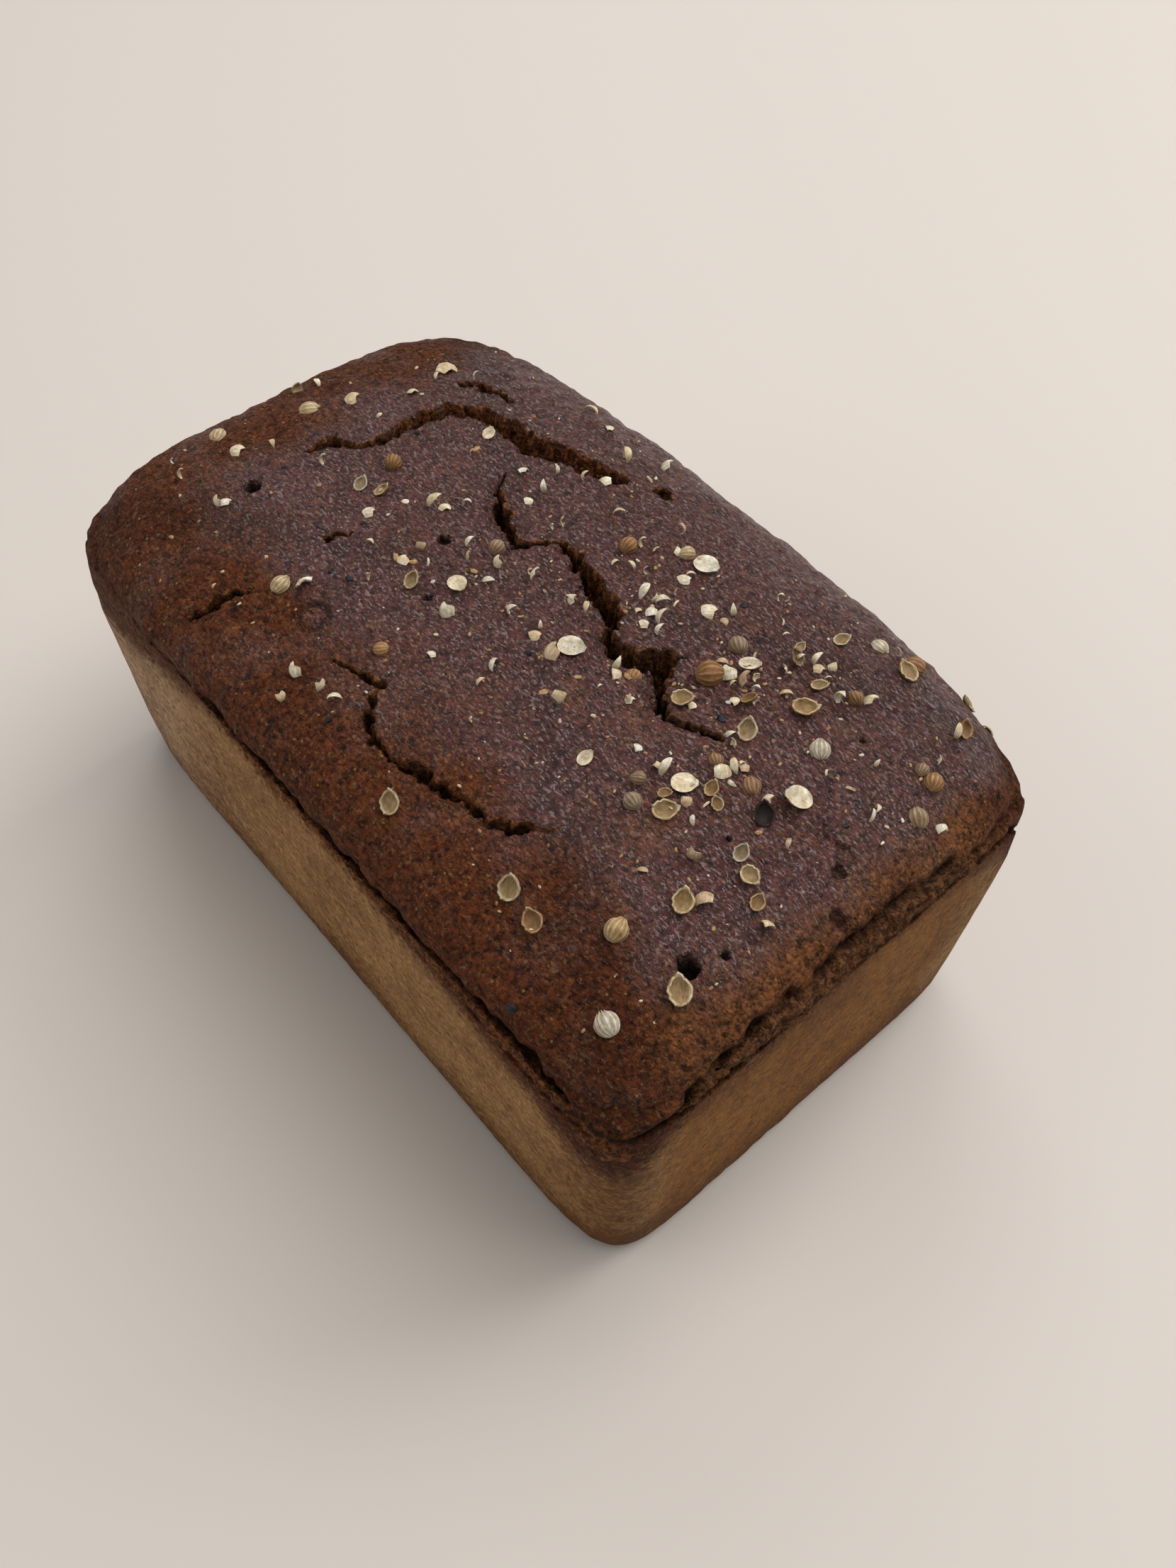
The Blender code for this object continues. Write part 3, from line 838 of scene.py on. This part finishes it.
def join_up(name, copies, shapes, finish, smooth_under=50):
    """Join the copies into one piece, throw the pattern shapes away and finish the piece."""
    bpy.ops.object.select_all(action="DESELECT")
    for copy in copies:
        copy.select_set(True)
    bpy.context.view_layer.objects.active = copies[0]
    bpy.ops.object.join()
    piece = bpy.context.active_object
    piece.name = name
    piece.data.name = name
    bpy.ops.object.shade_smooth_by_angle(angle=math.radians(smooth_under))
    piece.data.materials.append(finish)
    for shape in shapes:
        bpy.data.objects.remove(shape)
    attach(piece, "root")
    return piece


def husk_finish():
    """Dry seed husk: its tone from the piece, painted shade in grooves and hollows, a pale rim and
    fine fibres.
    """
    made, tree, shader = material("coriander husk", 0.6, 0.25)
    where = in_mm(tree)
    tone = mark_of(tree, "tone")
    colours = node(tree, "ValToRGB", {"Fac": tone})
    stops = colours.color_ramp.elements
    stops[0].color = (0.52, 0.49, 0.42, 1)
    stops[1].color = (0.29, 0.225, 0.16, 1)
    for place, colour in (
        (0.2, (0.58, 0.48, 0.32, 1)),
        (0.4, (0.46, 0.32, 0.16, 1)),
        (0.6, (0.34, 0.185, 0.075, 1)),
        (0.8, (0.24, 0.100, 0.028, 1)),
    ):
        stops.new(place).color = colour
    colour = colours.outputs["Color"]
    pale_share = calc(tree, "MULTIPLY", mark_of(tree, "pale"), 0.7)
    colour = blend(tree, pale_share, colour, (0.72, 0.61, 0.42, 1))
    burnt_share = calc(tree, "MULTIPLY", between(tree, tone, 1.05, 1.15), 0.95)
    colour = blend(tree, burnt_share, colour, (0.010, 0.003, 0.002, 1))
    own = node(tree, "UVMap").outputs["UV"]
    along = node(tree, "Mapping", {"Vector": own, "Scale": (50, 4, 1)}).outputs["Vector"]
    fibres = node(tree, "TexNoise", {"Vector": along, "Scale": 1.0, "Detail": 4.0}).outputs["Fac"]
    dark = calc(tree, "MULTIPLY_ADD", fibres, 1.2, 0.40)
    blotches = calc(tree, "MULTIPLY_ADD", mottle(tree, where, 1.3, 4, 0.7), 1.6, 0.2)
    husk_shading = calc(tree, "MULTIPLY_ADD", mark_of(tree, "husk_shade"), -0.72, 1.0)
    dark = calc(tree, "MULTIPLY", calc(tree, "MULTIPLY", dark, blotches), husk_shading)
    warmer = calc(tree, "POWER", dark, 1.3)
    warmest = calc(tree, "POWER", dark, 1.8)
    dark_colour = node(tree, "CombineColor", {0: dark, 1: warmer, 2: warmest}).outputs[0]
    colour = blend(tree, 1.0, colour, dark_colour, "MULTIPLY")
    tree.links.new(colour, shader.inputs["Base Color"])
    bump = node(tree, "Bump", {"Height": fibres, "Strength": 0.6, "Distance": 0.12 * MM})
    tree.links.new(bump.outputs[0], shader.inputs["Normal"])
    return made


bpy.context.view_layer.update()
husk = husk_finish()
ball = ribbed_ball("ball", 0.07 * MM)
draw_out_nub(ball)
whole = []
for x, y, across, turn, tone in WHOLE_SEEDS:
    lay(ball, whole, x, y, across * MM / SEED_ACROSS, turn, tone, 0.42 * across)
join_up("coriander_whole", whole, [ball], husk)


# ---- The coriander halves -------------------------------------------------------------------
# Seeds split between their two grains. Some lie on their flat with the ribbed back up, others
# show the flat: a thin pale rim round a sunken face with a raised seam.

# As for the whole seeds, and the lean.
BACKS_UP = [
    (67, -40, 3.8, 75, 0.02, 0), (45.5, 40, 3.1, -93, 0.08, 0), (55.5, 14, 3.3, 47, 0.03, 10),
    (72.5, 19, 3.6, 57, 0.93, 0), (53.5, 1, 3.1, 57, 0.86, 0), (-27, -31, 3.4, 7, 0.30, 15),
    (-64.5, -0.5, 3.9, -33, 0.30, 0), (-71, -17, 3.4, 40, 0.28, 0),
    (-4.5, -26.5, 2.7, -40, 0.62, 0), (26, 1.5, 2.7, 30, 0.60, 0),
]
FLATS_UP = [
    (15.5, -3, 4.2, -63, 0.05, 4), (-7.5, -8.5, 3.6, -103, 0.50, 6), (59.5, 5, 4.2, 137, 0.25, 6),
    (34, -16, 2.6, 0, 0.45, 20), (-35, 20, 2.6, 30, 0.60, 15), (47, -7.5, 3.7, -43, 0.42, 4),
    (36.5, 17, 3.3, -53, 0.95, 8), (15.5, 27.5, 4.2, -78, 0.02, 8),
]


def split_ball(name):
    """The lower half of a ribbed ball, closed by a flat face."""
    half = ribbed_ball(name, 0.09 * MM)
    take_up(half, faces=[True] * len(half.data.polygons))
    bpy.ops.mesh.bisect(plane_co=(0, 0, 0), plane_no=(0, 0, 1), use_fill=True, clear_outer=True)
    put_down()
    return half


back = split_ball("back")
draw_out_nub(back)
back.data.transform(Matrix.Rotation(math.pi, 4, "Y"))
take_up(back, vertices=[True] * len(back.data.vertices))
bpy.ops.transform.resize(value=(1, 1, 0.72))
put_down()

flat = split_ball("flat")
take_up(flat, faces=[face.normal.z > 0.99 for face in flat.data.polygons])
for share, drop in ((0.92, 0.0), (0.97, -0.28), (0.70, 0.14), (0.55, -0.06)):
    bpy.ops.mesh.extrude_region_move(TRANSFORM_OT_translate={"value": (0, 0, drop * MM)})
    bpy.ops.transform.resize(value=(share, share, 1), center_override=(0, 0, 0))
bpy.ops.mesh.poke()
put_down()
places = points_of(flat)
on_face = (np.hypot(places[:, 0], places[:, 1]) < 1.82 * MM) & (places[:, 2] > -0.6 * MM)
seam = on_face & (np.abs(places[:, 0]) < 0.25 * MM)
wrinkled = on_face & (np.arange(len(places)) % 3 == 0)
take_up(flat, vertices=wrinkled | seam)
bpy.ops.transform.translate(value=(0, 0, 0.17 * MM))
put_down()
# Painted shade in the trough round the face and on the sunken face between its wrinkles.
trough = on_face & (places[:, 2] < -0.22 * MM)
add_mark(flat, "pale", np.where(seam, 0.6, 0.25 * wrinkled) + ((places[:, 2] > -0.05 * MM) & ~on_face))
add_mark(flat, "husk_shade", np.where(trough, 1.2, np.where(on_face & ~wrinkled & ~seam, 0.8, 0.0)))
take_up(flat, vertices=[True] * len(flat.data.vertices))
bpy.ops.transform.resize(value=(0.88, 1.04, 0.55))
put_down()
draw_out_nub(flat)

halves = []
for shape, places in ((back, BACKS_UP), (flat, FLATS_UP)):
    for x, y, across, turn, tone, lean in places:
        lay(shape, halves, x, y, across * MM / SEED_ACROSS, turn, tone, 0.30, lean)
join_up("coriander_halves", halves, [back, flat], husk)


# ---- The empty husk cups --------------------------------------------------------------------
# Half shells that lost their grain: shallow pointed bowls 0.3 mm thick, with an uneven pale rim
# and a gold lining. They lie open side up or lean on their rim.

HUSK = 0.28 * MM
# As for the halves.
CUPS = [
    (48.5, 17.5, 4.4, -43, 0.35, 8), (46, 7, 3.9, 37, 0.15, 38), (48.5, -13, 4.2, -33, 0.30, 20),
    (58.5, -1.5, 4.0, 50, 1.20, 25), (61, -9, 3.0, 17, 0.05, 35), (64, -10, 3.5, -93, 0.25, 25),
    (61.5, -21, 4.1, 37, 0.32, 22), (68, -12.5, 2.9, 25, 0.50, 30), (70.5, -30, 4.6, 57, 0.25, 18),
    (41, 24, 3.3, 100, 0.93, 60), (46.5, 23, 3.0, -53, 0.30, 25), (41.5, 34, 3.0, -25, 0.20, 25),
    (52.5, 38.7, 4.2, 80, 0.28, 10), (66, 38, 3.3, 60, 0.55, 45), (60.5, 47.5, 3.6, 130, 0.30, 20),
    (-38.5, -6.5, 3.1, 20, 0.05, 20), (-34.5, -5, 3.1, -23, 0.35, 35),
    (-12.5, -14.5, 3.4, 7, 0.25, 50), (50.5, -5, 2.8, 20, 0.42, 30), (53, -6, 2.4, 70, 0.36, 25),
    (46.5, -11, 2.5, -60, 0.48, 30), (34.5, 3.5, 3.9, -55, 0.30, 35),
    (41.5, 11.5, 3.2, -70, 0.58, 55), (43.5, -38.5, 4.2, 35, 0.22, 35),
    (49.5, -39, 3.8, 70, 0.62, 15), (20, -42.5, 4.0, 40, 0.25, 40), (39, 26.5, 2.1, 0, 0.20, 20),
]

bpy.ops.object.select_all(action="DESELECT")
bpy.ops.mesh.primitive_uv_sphere_add(
    segments=20, ring_count=12, radius=SEED_ACROSS / 2, rotation=(math.pi / 2, 0, 0)
)
cup = bpy.context.active_object
bpy.ops.object.transform_apply(rotation=True)
take_up(cup, faces=[True] * len(cup.data.polygons))
bpy.ops.mesh.bisect(plane_co=(0, 0, 0), plane_no=(0, 0, 1), clear_outer=True)
put_down()
places = points_of(cup)
take_up(cup, vertices=places[:, 2] > -0.05 * MM)
bpy.ops.transform.vertex_random(offset=0.28 * MM, uniform=0.6, seed=4)
put_down()
take_up(cup, vertices=places[:, 1] > 1.95 * MM)
bpy.ops.transform.translate(value=(0, 0.55 * MM, 0.25 * MM))
put_down()
take_up(cup, vertices=[True] * len(cup.data.vertices))
bpy.ops.transform.resize(value=(0.80, 1.0, 0.55))
put_down()
places = points_of(cup)
shell = cup.modifiers.new("husk", "SOLIDIFY")
shell.thickness = HUSK
shell.offset = -1.0
bpy.ops.object.modifier_apply(modifier=shell.name)
outer = np.arange(len(cup.data.vertices)) < len(places)
all_places = points_of(cup)
lining = np.where(outer, 0.0, 0.25)
lining = np.maximum(lining, ramp(all_places[:, 2], -0.30 * MM, -0.05 * MM))
add_mark(cup, "pale", lining)
# Painted shade on the outside of the shell and in the bottom of the lining.
add_mark(cup, "husk_shade", np.where(outer, 0.6, 0.75 * ramp(-all_places[:, 2], 0.35 * MM, 0.8 * MM)))

cups = []
for x, y, across, turn, tone, lean in CUPS:
    lay(cup, cups, x, y, across * MM / SEED_ACROSS, turn, tone, 0.003 * lean - 0.06, 0.75 * lean)
join_up("coriander_cups", cups, [cup], husk)


# ---- The husk shards ------------------------------------------------------------------------
# Broken husk: curved crescents, three-cornered chips and thin slivers, cream to straw, lying
# any way up. Most lie over the middle and the near half of the crust.

# Place, length, turn, lean and tone of the shards that stand out.
SHARDS = [
    (14, 14.5, 3.4, 20, 20, 0.08), (16, 11.5, 1.4, 60, 0, 0.15), (17.5, 15.5, 3.0, -60, 30, 0.15),
    (18, 12.5, 2.1, 40, 20, 0.12), (20.5, 12.5, 3.2, 10, 60, 0.16), (19, 10, 2.0, -40, 10, 0.14),
    (22, 10.5, 2.5, 0, 70, 0.16), (24, 20, 2.8, -50, 20, 0.24), (27, 23, 2.5, 40, 80, 0.15),
    (27, 21, 1.6, 0, 0, 0.72), (33.5, 13.8, 2.3, -60, 10, 0.60), (36, 13, 2.7, 40, 40, 0.10),
    (37.5, 12.5, 1.5, 0, 10, 0.35), (38.5, 13.8, 2.7, -40, 80, 0.72), (41, 14, 2.3, -80, 70, 0.05),
    (36.5, 4.5, 1.8, 60, 10, 0.32), (44.5, 17.5, 2.4, -40, 10, 0.52), (16, 22, 2.6, -40, 20, 0.10),
    (5.5, 15.5, 1.8, 0, 10, 0.30), (7.5, 4, 1.9, -40, 60, 0.30), (10, 5, 2.3, 40, 30, 0.48),
    (-0.5, 2.5, 2.4, -50, 80, 0.16), (-5, -4, 2.3, -43, 20, 0.10), (-7, -0.3, 2.2, 20, 80, 0.32),
    (10.5, -15, 2.5, 30, 20, 0.10), (10, -6, 2.2, -40, 10, 0.50), (9, -4, 1.7, 50, 70, 0.20),
    (15, -6.5, 3.2, 15, 50, 0.52), (23, 0, 2.7, 10, 70, 0.22), (24.5, -1, 2.0, 60, 30, 0.30),
    (24.5, -4.5, 1.2, 0, 0, 0.02), (29.5, -2.7, 1.7, -50, 30, 0.03), (12, -19, 1.9, 0, 40, 0.30),
    (2, -21, 1.6, -20, 0, 0.10), (3, -5.5, 2.8, -43, 80, 0.12), (-3, -14, 2.7, 55, 60, 0.12),
    (-18.5, 22.5, 2.2, 80, 80, 0.15), (-22.5, 18, 2.1, -30, 20, 0.12),
    (-16.5, 18, 2.7, 60, 60, 0.08), (-16, 14, 1.9, -40, 10, 0.14), (-14, 25.3, 2.3, -20, 80, 0.20),
    (-11.5, 28.5, 2.4, -20, 20, 0.15), (-14.5, 36, 3.4, 60, 30, 0.42),
    (-9.5, 41.5, 2.6, -40, 70, 0.08), (-30.5, 41, 3.5, -80, 20, 0.42),
    (-24, 40.5, 2.0, -40, 10, 0.20), (-71.5, 6, 2.5, 80, 20, 0.20), (-60, 6.5, 3.0, -40, 30, 0.45),
    (-52.5, 7.5, 1.6, 0, 20, 0.30), (-57.5, 27, 4.0, -80, 10, 0.40), (-56.5, 24, 1.9, 30, 30, 0.22),
    (-55, 17, 2.1, -70, 30, 0.30), (-50.5, 29, 2.1, -40, 80, 0.25),
    (-63, -17.5, 2.8, -50, 20, 0.22), (-64, -28.5, 2.5, -40, 70, 0.30),
    (-51, -27, 2.3, -30, 10, 0.02), (-48, -8, 2.7, -50, 80, 0.30),
    (-31.5, -9.7, 2.4, -30, 20, 0.10), (-25.5, 0, 3.5, -20, 50, 0.28),
    (-24, 1.3, 2.2, -90, 20, 0.25), (-22, 4.8, 2.3, -60, 40, 0.12), (-29.5, -3, 1.5, 0, 10, 0.12),
    (-14, -0.8, 2.3, 0, 30, 0.15), (-18, -12, 2.2, 10, 20, 0.30), (-25, -14, 2.0, -80, 30, 0.25),
    (-24, -28, 3.2, -90, 60, 0.12), (50.5, 23.5, 3.8, -110, 90, 0.24),
    (53.5, 27.7, 2.5, -80, 60, 0.25), (42.5, 26.5, 2.7, 10, 60, 0.28),
    (43.8, 26, 2.1, -60, 20, 0.50), (35.5, 26.7, 1.4, -40, 40, 0.15), (49, -1, 2.9, 50, 20, 0.24),
    (49.5, 1, 2.9, 60, 15, 0.30), (50.5, 2.2, 2.1, -40, 10, 0.64), (43, -7.5, 3.4, 15, 25, 0.12),
    (49.5, -9, 1.9, 60, 20, 0.66), (52.5, -10.5, 2.0, 50, 10, 0.02), (57, 0.8, 2.3, -40, 60, 0.30),
    (64, -1.5, 2.0, 30, 10, 0.70), (63, -18, 2.8, 40, 0, 0.66), (54, -22, 1.9, -50, 0, 0.60),
    (57, -14.5, 2.3, 10, 80, 0.74), (62.5, 19.5, 1.6, 10, 60, 0.28), (37.5, -8, 1.7, 60, 10, 0.03),
    (65.5, 36.3, 2.8, 50, 50, 0.24), (66, 47, 2.4, 100, 20, 0.62), (5.5, 21.8, 2.8, -60, 90, 0.35),
    (-10.5, -39, 2.6, 40, 60, 0.15), (-1.5, -37.5, 2.6, 150, 30, 0.25),
    (-5, -38, 2.2, 90, 100, 0.20),
]
MORE_SHARDS = 70
# Half the width round the shell in degrees, and the cut ends along it in millimetres.
SHARD_KINDS = {"crescent": (26, -1.9, 1.9), "chip": (42, -0.7, 1.5), "sliver": (11, -1.4, 1.2)}


def shard(name, half_width, low_end, high_end):
    """A strip of a seed's shell, curved both ways, resting on its edges."""
    bpy.ops.mesh.primitive_uv_sphere_add(
        segments=16, ring_count=8, radius=SEED_ACROSS / 2, rotation=(math.pi / 2, 0, 0)
    )
    piece = bpy.context.active_object
    piece.name = name
    bpy.ops.object.transform_apply(rotation=True)
    turn = math.radians(half_width)
    cuts = [
        ((0, 0, 0), (math.cos(turn), 0, -math.sin(turn))),
        ((0, 0, 0), (-math.cos(turn), 0, -math.sin(turn))),
        ((0, high_end * MM, 0), (0.35, 1, 0)),
        ((0, low_end * MM, 0), (0.25, -1, 0)),
    ]
    for point, away in cuts:
        take_up(piece, faces=[True] * len(piece.data.polygons))
        bpy.ops.mesh.bisect(plane_co=point, plane_no=away, clear_outer=True)
        put_down()
    shell = piece.modifiers.new("husk", "SOLIDIFY")
    shell.thickness = 0.8 * HUSK
    shell.offset = -1.0
    bpy.ops.object.modifier_apply(modifier=shell.name)
    longest = max(piece.dimensions)
    take_up(piece, vertices=[True] * len(piece.data.vertices))
    bpy.ops.transform.resize(value=(1 / longest,) * 3)
    put_down()
    add_mark(piece, "pale", np.full(len(piece.data.vertices), 0.5))
    return piece


def scatter_places(seed, count, spread):
    """Places on the crust in millimetres, thick over the middle and near half, thin elsewhere."""
    draw = np.random.default_rng(seed)
    even = draw.uniform((-74, -45), (76, 46), (3 * count, 2))
    thick = draw.normal((34, 6), (26, 19), (3 * count, 2))
    places = np.where(draw.random((3 * count, 1)) < spread, even, thick)
    across = np.abs(places)
    fits = (across[:, 0] < 76) & (across[:, 1] < 46) & ~((across[:, 0] > 66) & (across[:, 1] > 36))
    for tear in TEARS.values():
        fits &= inside_tear(places * MM, tear)[0] < -0.4 * MM
    return places[fits][:count].tolist()


draw = random.Random(12)
kinds = [shard(name, *sizes) for name, sizes in SHARD_KINDS.items()]
shards = []
for i, (x, y, length, turn, lean, tone) in enumerate(SHARDS):
    lay(kinds[i % 2], shards, x, y, length * MM, turn, tone, 0.42, lean, draw.uniform(-25, 25))
for x, y in scatter_places(8, MORE_SHARDS, 0.3):
    length = draw.triangular(1.0, 2.6, 1.5) * MM
    tone = draw.choice((0.08, 0.15, 0.2, 0.25, 0.35, 0.5, 0.65))
    turn, lean, roll = draw.uniform(0, 360), draw.uniform(-100, 100), draw.uniform(-40, 40)
    lay(draw.choice(kinds), shards, x, y, length, turn, tone, 0.1, lean, roll)
join_up("husk_shards", shards, kinds, husk)


# ---- The husk crumbs ------------------------------------------------------------------------
# Crumbs of husk and coarse bran under a millimetre across, pale to ochre, stuck in the crust.

CRUMBS = 360
# Smooth ochre grains: place and length.
GRAINS = [
    (-33, 15.5, 1.9), (-8.5, -4.2, 1.7), (-19.5, -12.5, 1.9), (-16.5, -11, 1.7), (21, -6.3, 1.6),
    (20, -12.5, 1.9), (34.5, 15, 1.2), (2, -31, 1.8), (60, -4, 1.3), (76, 22, 1.4), (-52, -38, 1.3),
    (25.8, 0.2, 1.8),
]

bpy.ops.object.select_all(action="DESELECT")
bpy.ops.mesh.primitive_ico_sphere_add(subdivisions=1, radius=0.5 * MM)
crumb = bpy.context.active_object
places = points_of(crumb)
move_points(crumb, places * (1.0, 0.62, 0.45) * (1 + 0.25 * lumps(places, 0.4 * MM, 41)[:, None]))
crumbs = []
for x, y, length in GRAINS:
    lay(crumb, crumbs, x, y, length, draw.uniform(0, 360), 0.55, 0.25 * length)
for x, y in scatter_places(9, CRUMBS, 0.55):
    size = draw.triangular(0.3, 1.2, 0.4)
    tone = draw.choice((0.08, 0.2, 0.3, 0.45, 0.5, 0.55, 0.6, 0.65, 0.7))
    lay(crumb, crumbs, x, y, size, draw.uniform(0, 360), tone, 0.2 * size, draw.uniform(-30, 30))
join_up("husk_crumbs", crumbs, [crumb], husk, 20)


# ---- The burnt specks -----------------------------------------------------------------------
# Blue-black scorched crumbs, 1 to 2 mm across.

BURNT = [
    (41.5, 6.0, 1.8), (26.5, 26.0, 1.6), (-20.5, -21.5, 1.6), (-44.0, 10.0, 1.3), (0.5, -40.5, 1.4),
    (55.5, -48.0, 1.8), (-52.0, -14.0, 1.2), (10.0, -14.0, 1.1), (67.0, 8.0, 1.2),
    (-24.0, -23.0, 1.0), (12.0, -9.0, 1.3), (-30.0, -12.0, 1.0),
]

bpy.ops.object.select_all(action="DESELECT")
bpy.ops.mesh.primitive_ico_sphere_add(subdivisions=2, radius=0.5 * MM)
burnt = bpy.context.active_object
places = points_of(burnt)
move_points(burnt, places * (1.0, 0.8, 0.6) * (1 + 0.5 * lumps(places, 0.45 * MM, 43, 2)[:, None]))
char, tree, shader = material("burnt crumb", 0.5, 0.25)
where = in_mm(tree)
soot = blend(tree, mottle(tree, where, 0.5, 3), (0.003, 0.003, 0.005, 1), (0.014, 0.014, 0.019, 1))
tree.links.new(soot, shader.inputs["Base Color"])
specks_laid = []
for x, y, across in BURNT:
    lay(burnt, specks_laid, x, y, across, draw.uniform(0, 360), 0.0, 0.3 * across)
join_up("burnt_specks", specks_laid, [burnt], char, 30)


# ---- The table top, the light and the camera -------------------------------------------------
# A plain pale surface, soft daylight mostly from above and behind on the right, and the view
# down on to the near corner of the loaf.

bpy.ops.mesh.primitive_plane_add(size=4.0, location=(0, 0, 0))
table_top = bpy.context.active_object
table_top.name = "table_top"
pale, tree, shader = material("pale table", 0.6)
shader.inputs["Base Color"].default_value = (0.585, 0.520, 0.460, 1)
table_top.data.materials.append(pale)

world = bpy.data.worlds.new("room light")
bpy.context.scene.world = world
world.use_nodes = True
world.node_tree.nodes["Background"].inputs["Color"].default_value = (0.95, 0.97, 1.0, 1)
world.node_tree.nodes["Background"].inputs["Strength"].default_value = 0.26


def lamp(name, place, size, energy, colour=(1, 1, 1)):
    """A square soft lamp aimed at the loaf."""
    data = bpy.data.lights.new(name, "AREA")
    data.size = size
    data.energy = energy
    data.color = colour
    made = bpy.data.objects.new(name, data)
    made.location = place
    made.rotation_euler = (Vector((0, 0, 0.05)) - made.location).to_track_quat("-Z", "Y").to_euler()
    bpy.context.scene.collection.objects.link(made)


lamp("window", (0.20, 1.40, 1.15), 1.1, 15.0)
lamp("ceiling", (0.30, 0.50, 1.90), 1.5, 22.0)
lamp("far_side", (-1.20, 0.90, 1.55), 1.2, 11.0, (0.93, 0.96, 1.0))
lamp("near_side", (-0.80, -1.40, 0.90), 1.5, 9.2)

camera_data = bpy.data.cameras.new("camera")
camera_data.sensor_width = 36.0
camera_data.lens = 30.44
camera = bpy.data.objects.new("camera", camera_data)
TURN, LOOK, TILT = 0.8212, 0.6278, 0.0449
camera.matrix_world = (
    Matrix.Translation((0.1239, -0.0987, 0.2402))
    @ Matrix.Rotation(TURN, 4, "Z")
    @ Matrix.Rotation(LOOK, 4, "X")
    @ Matrix.Rotation(TILT, 4, "Z")
)
bpy.context.scene.collection.objects.link(camera)
bpy.context.scene.camera = camera
bpy.context.scene.view_settings.view_transform = "Standard"
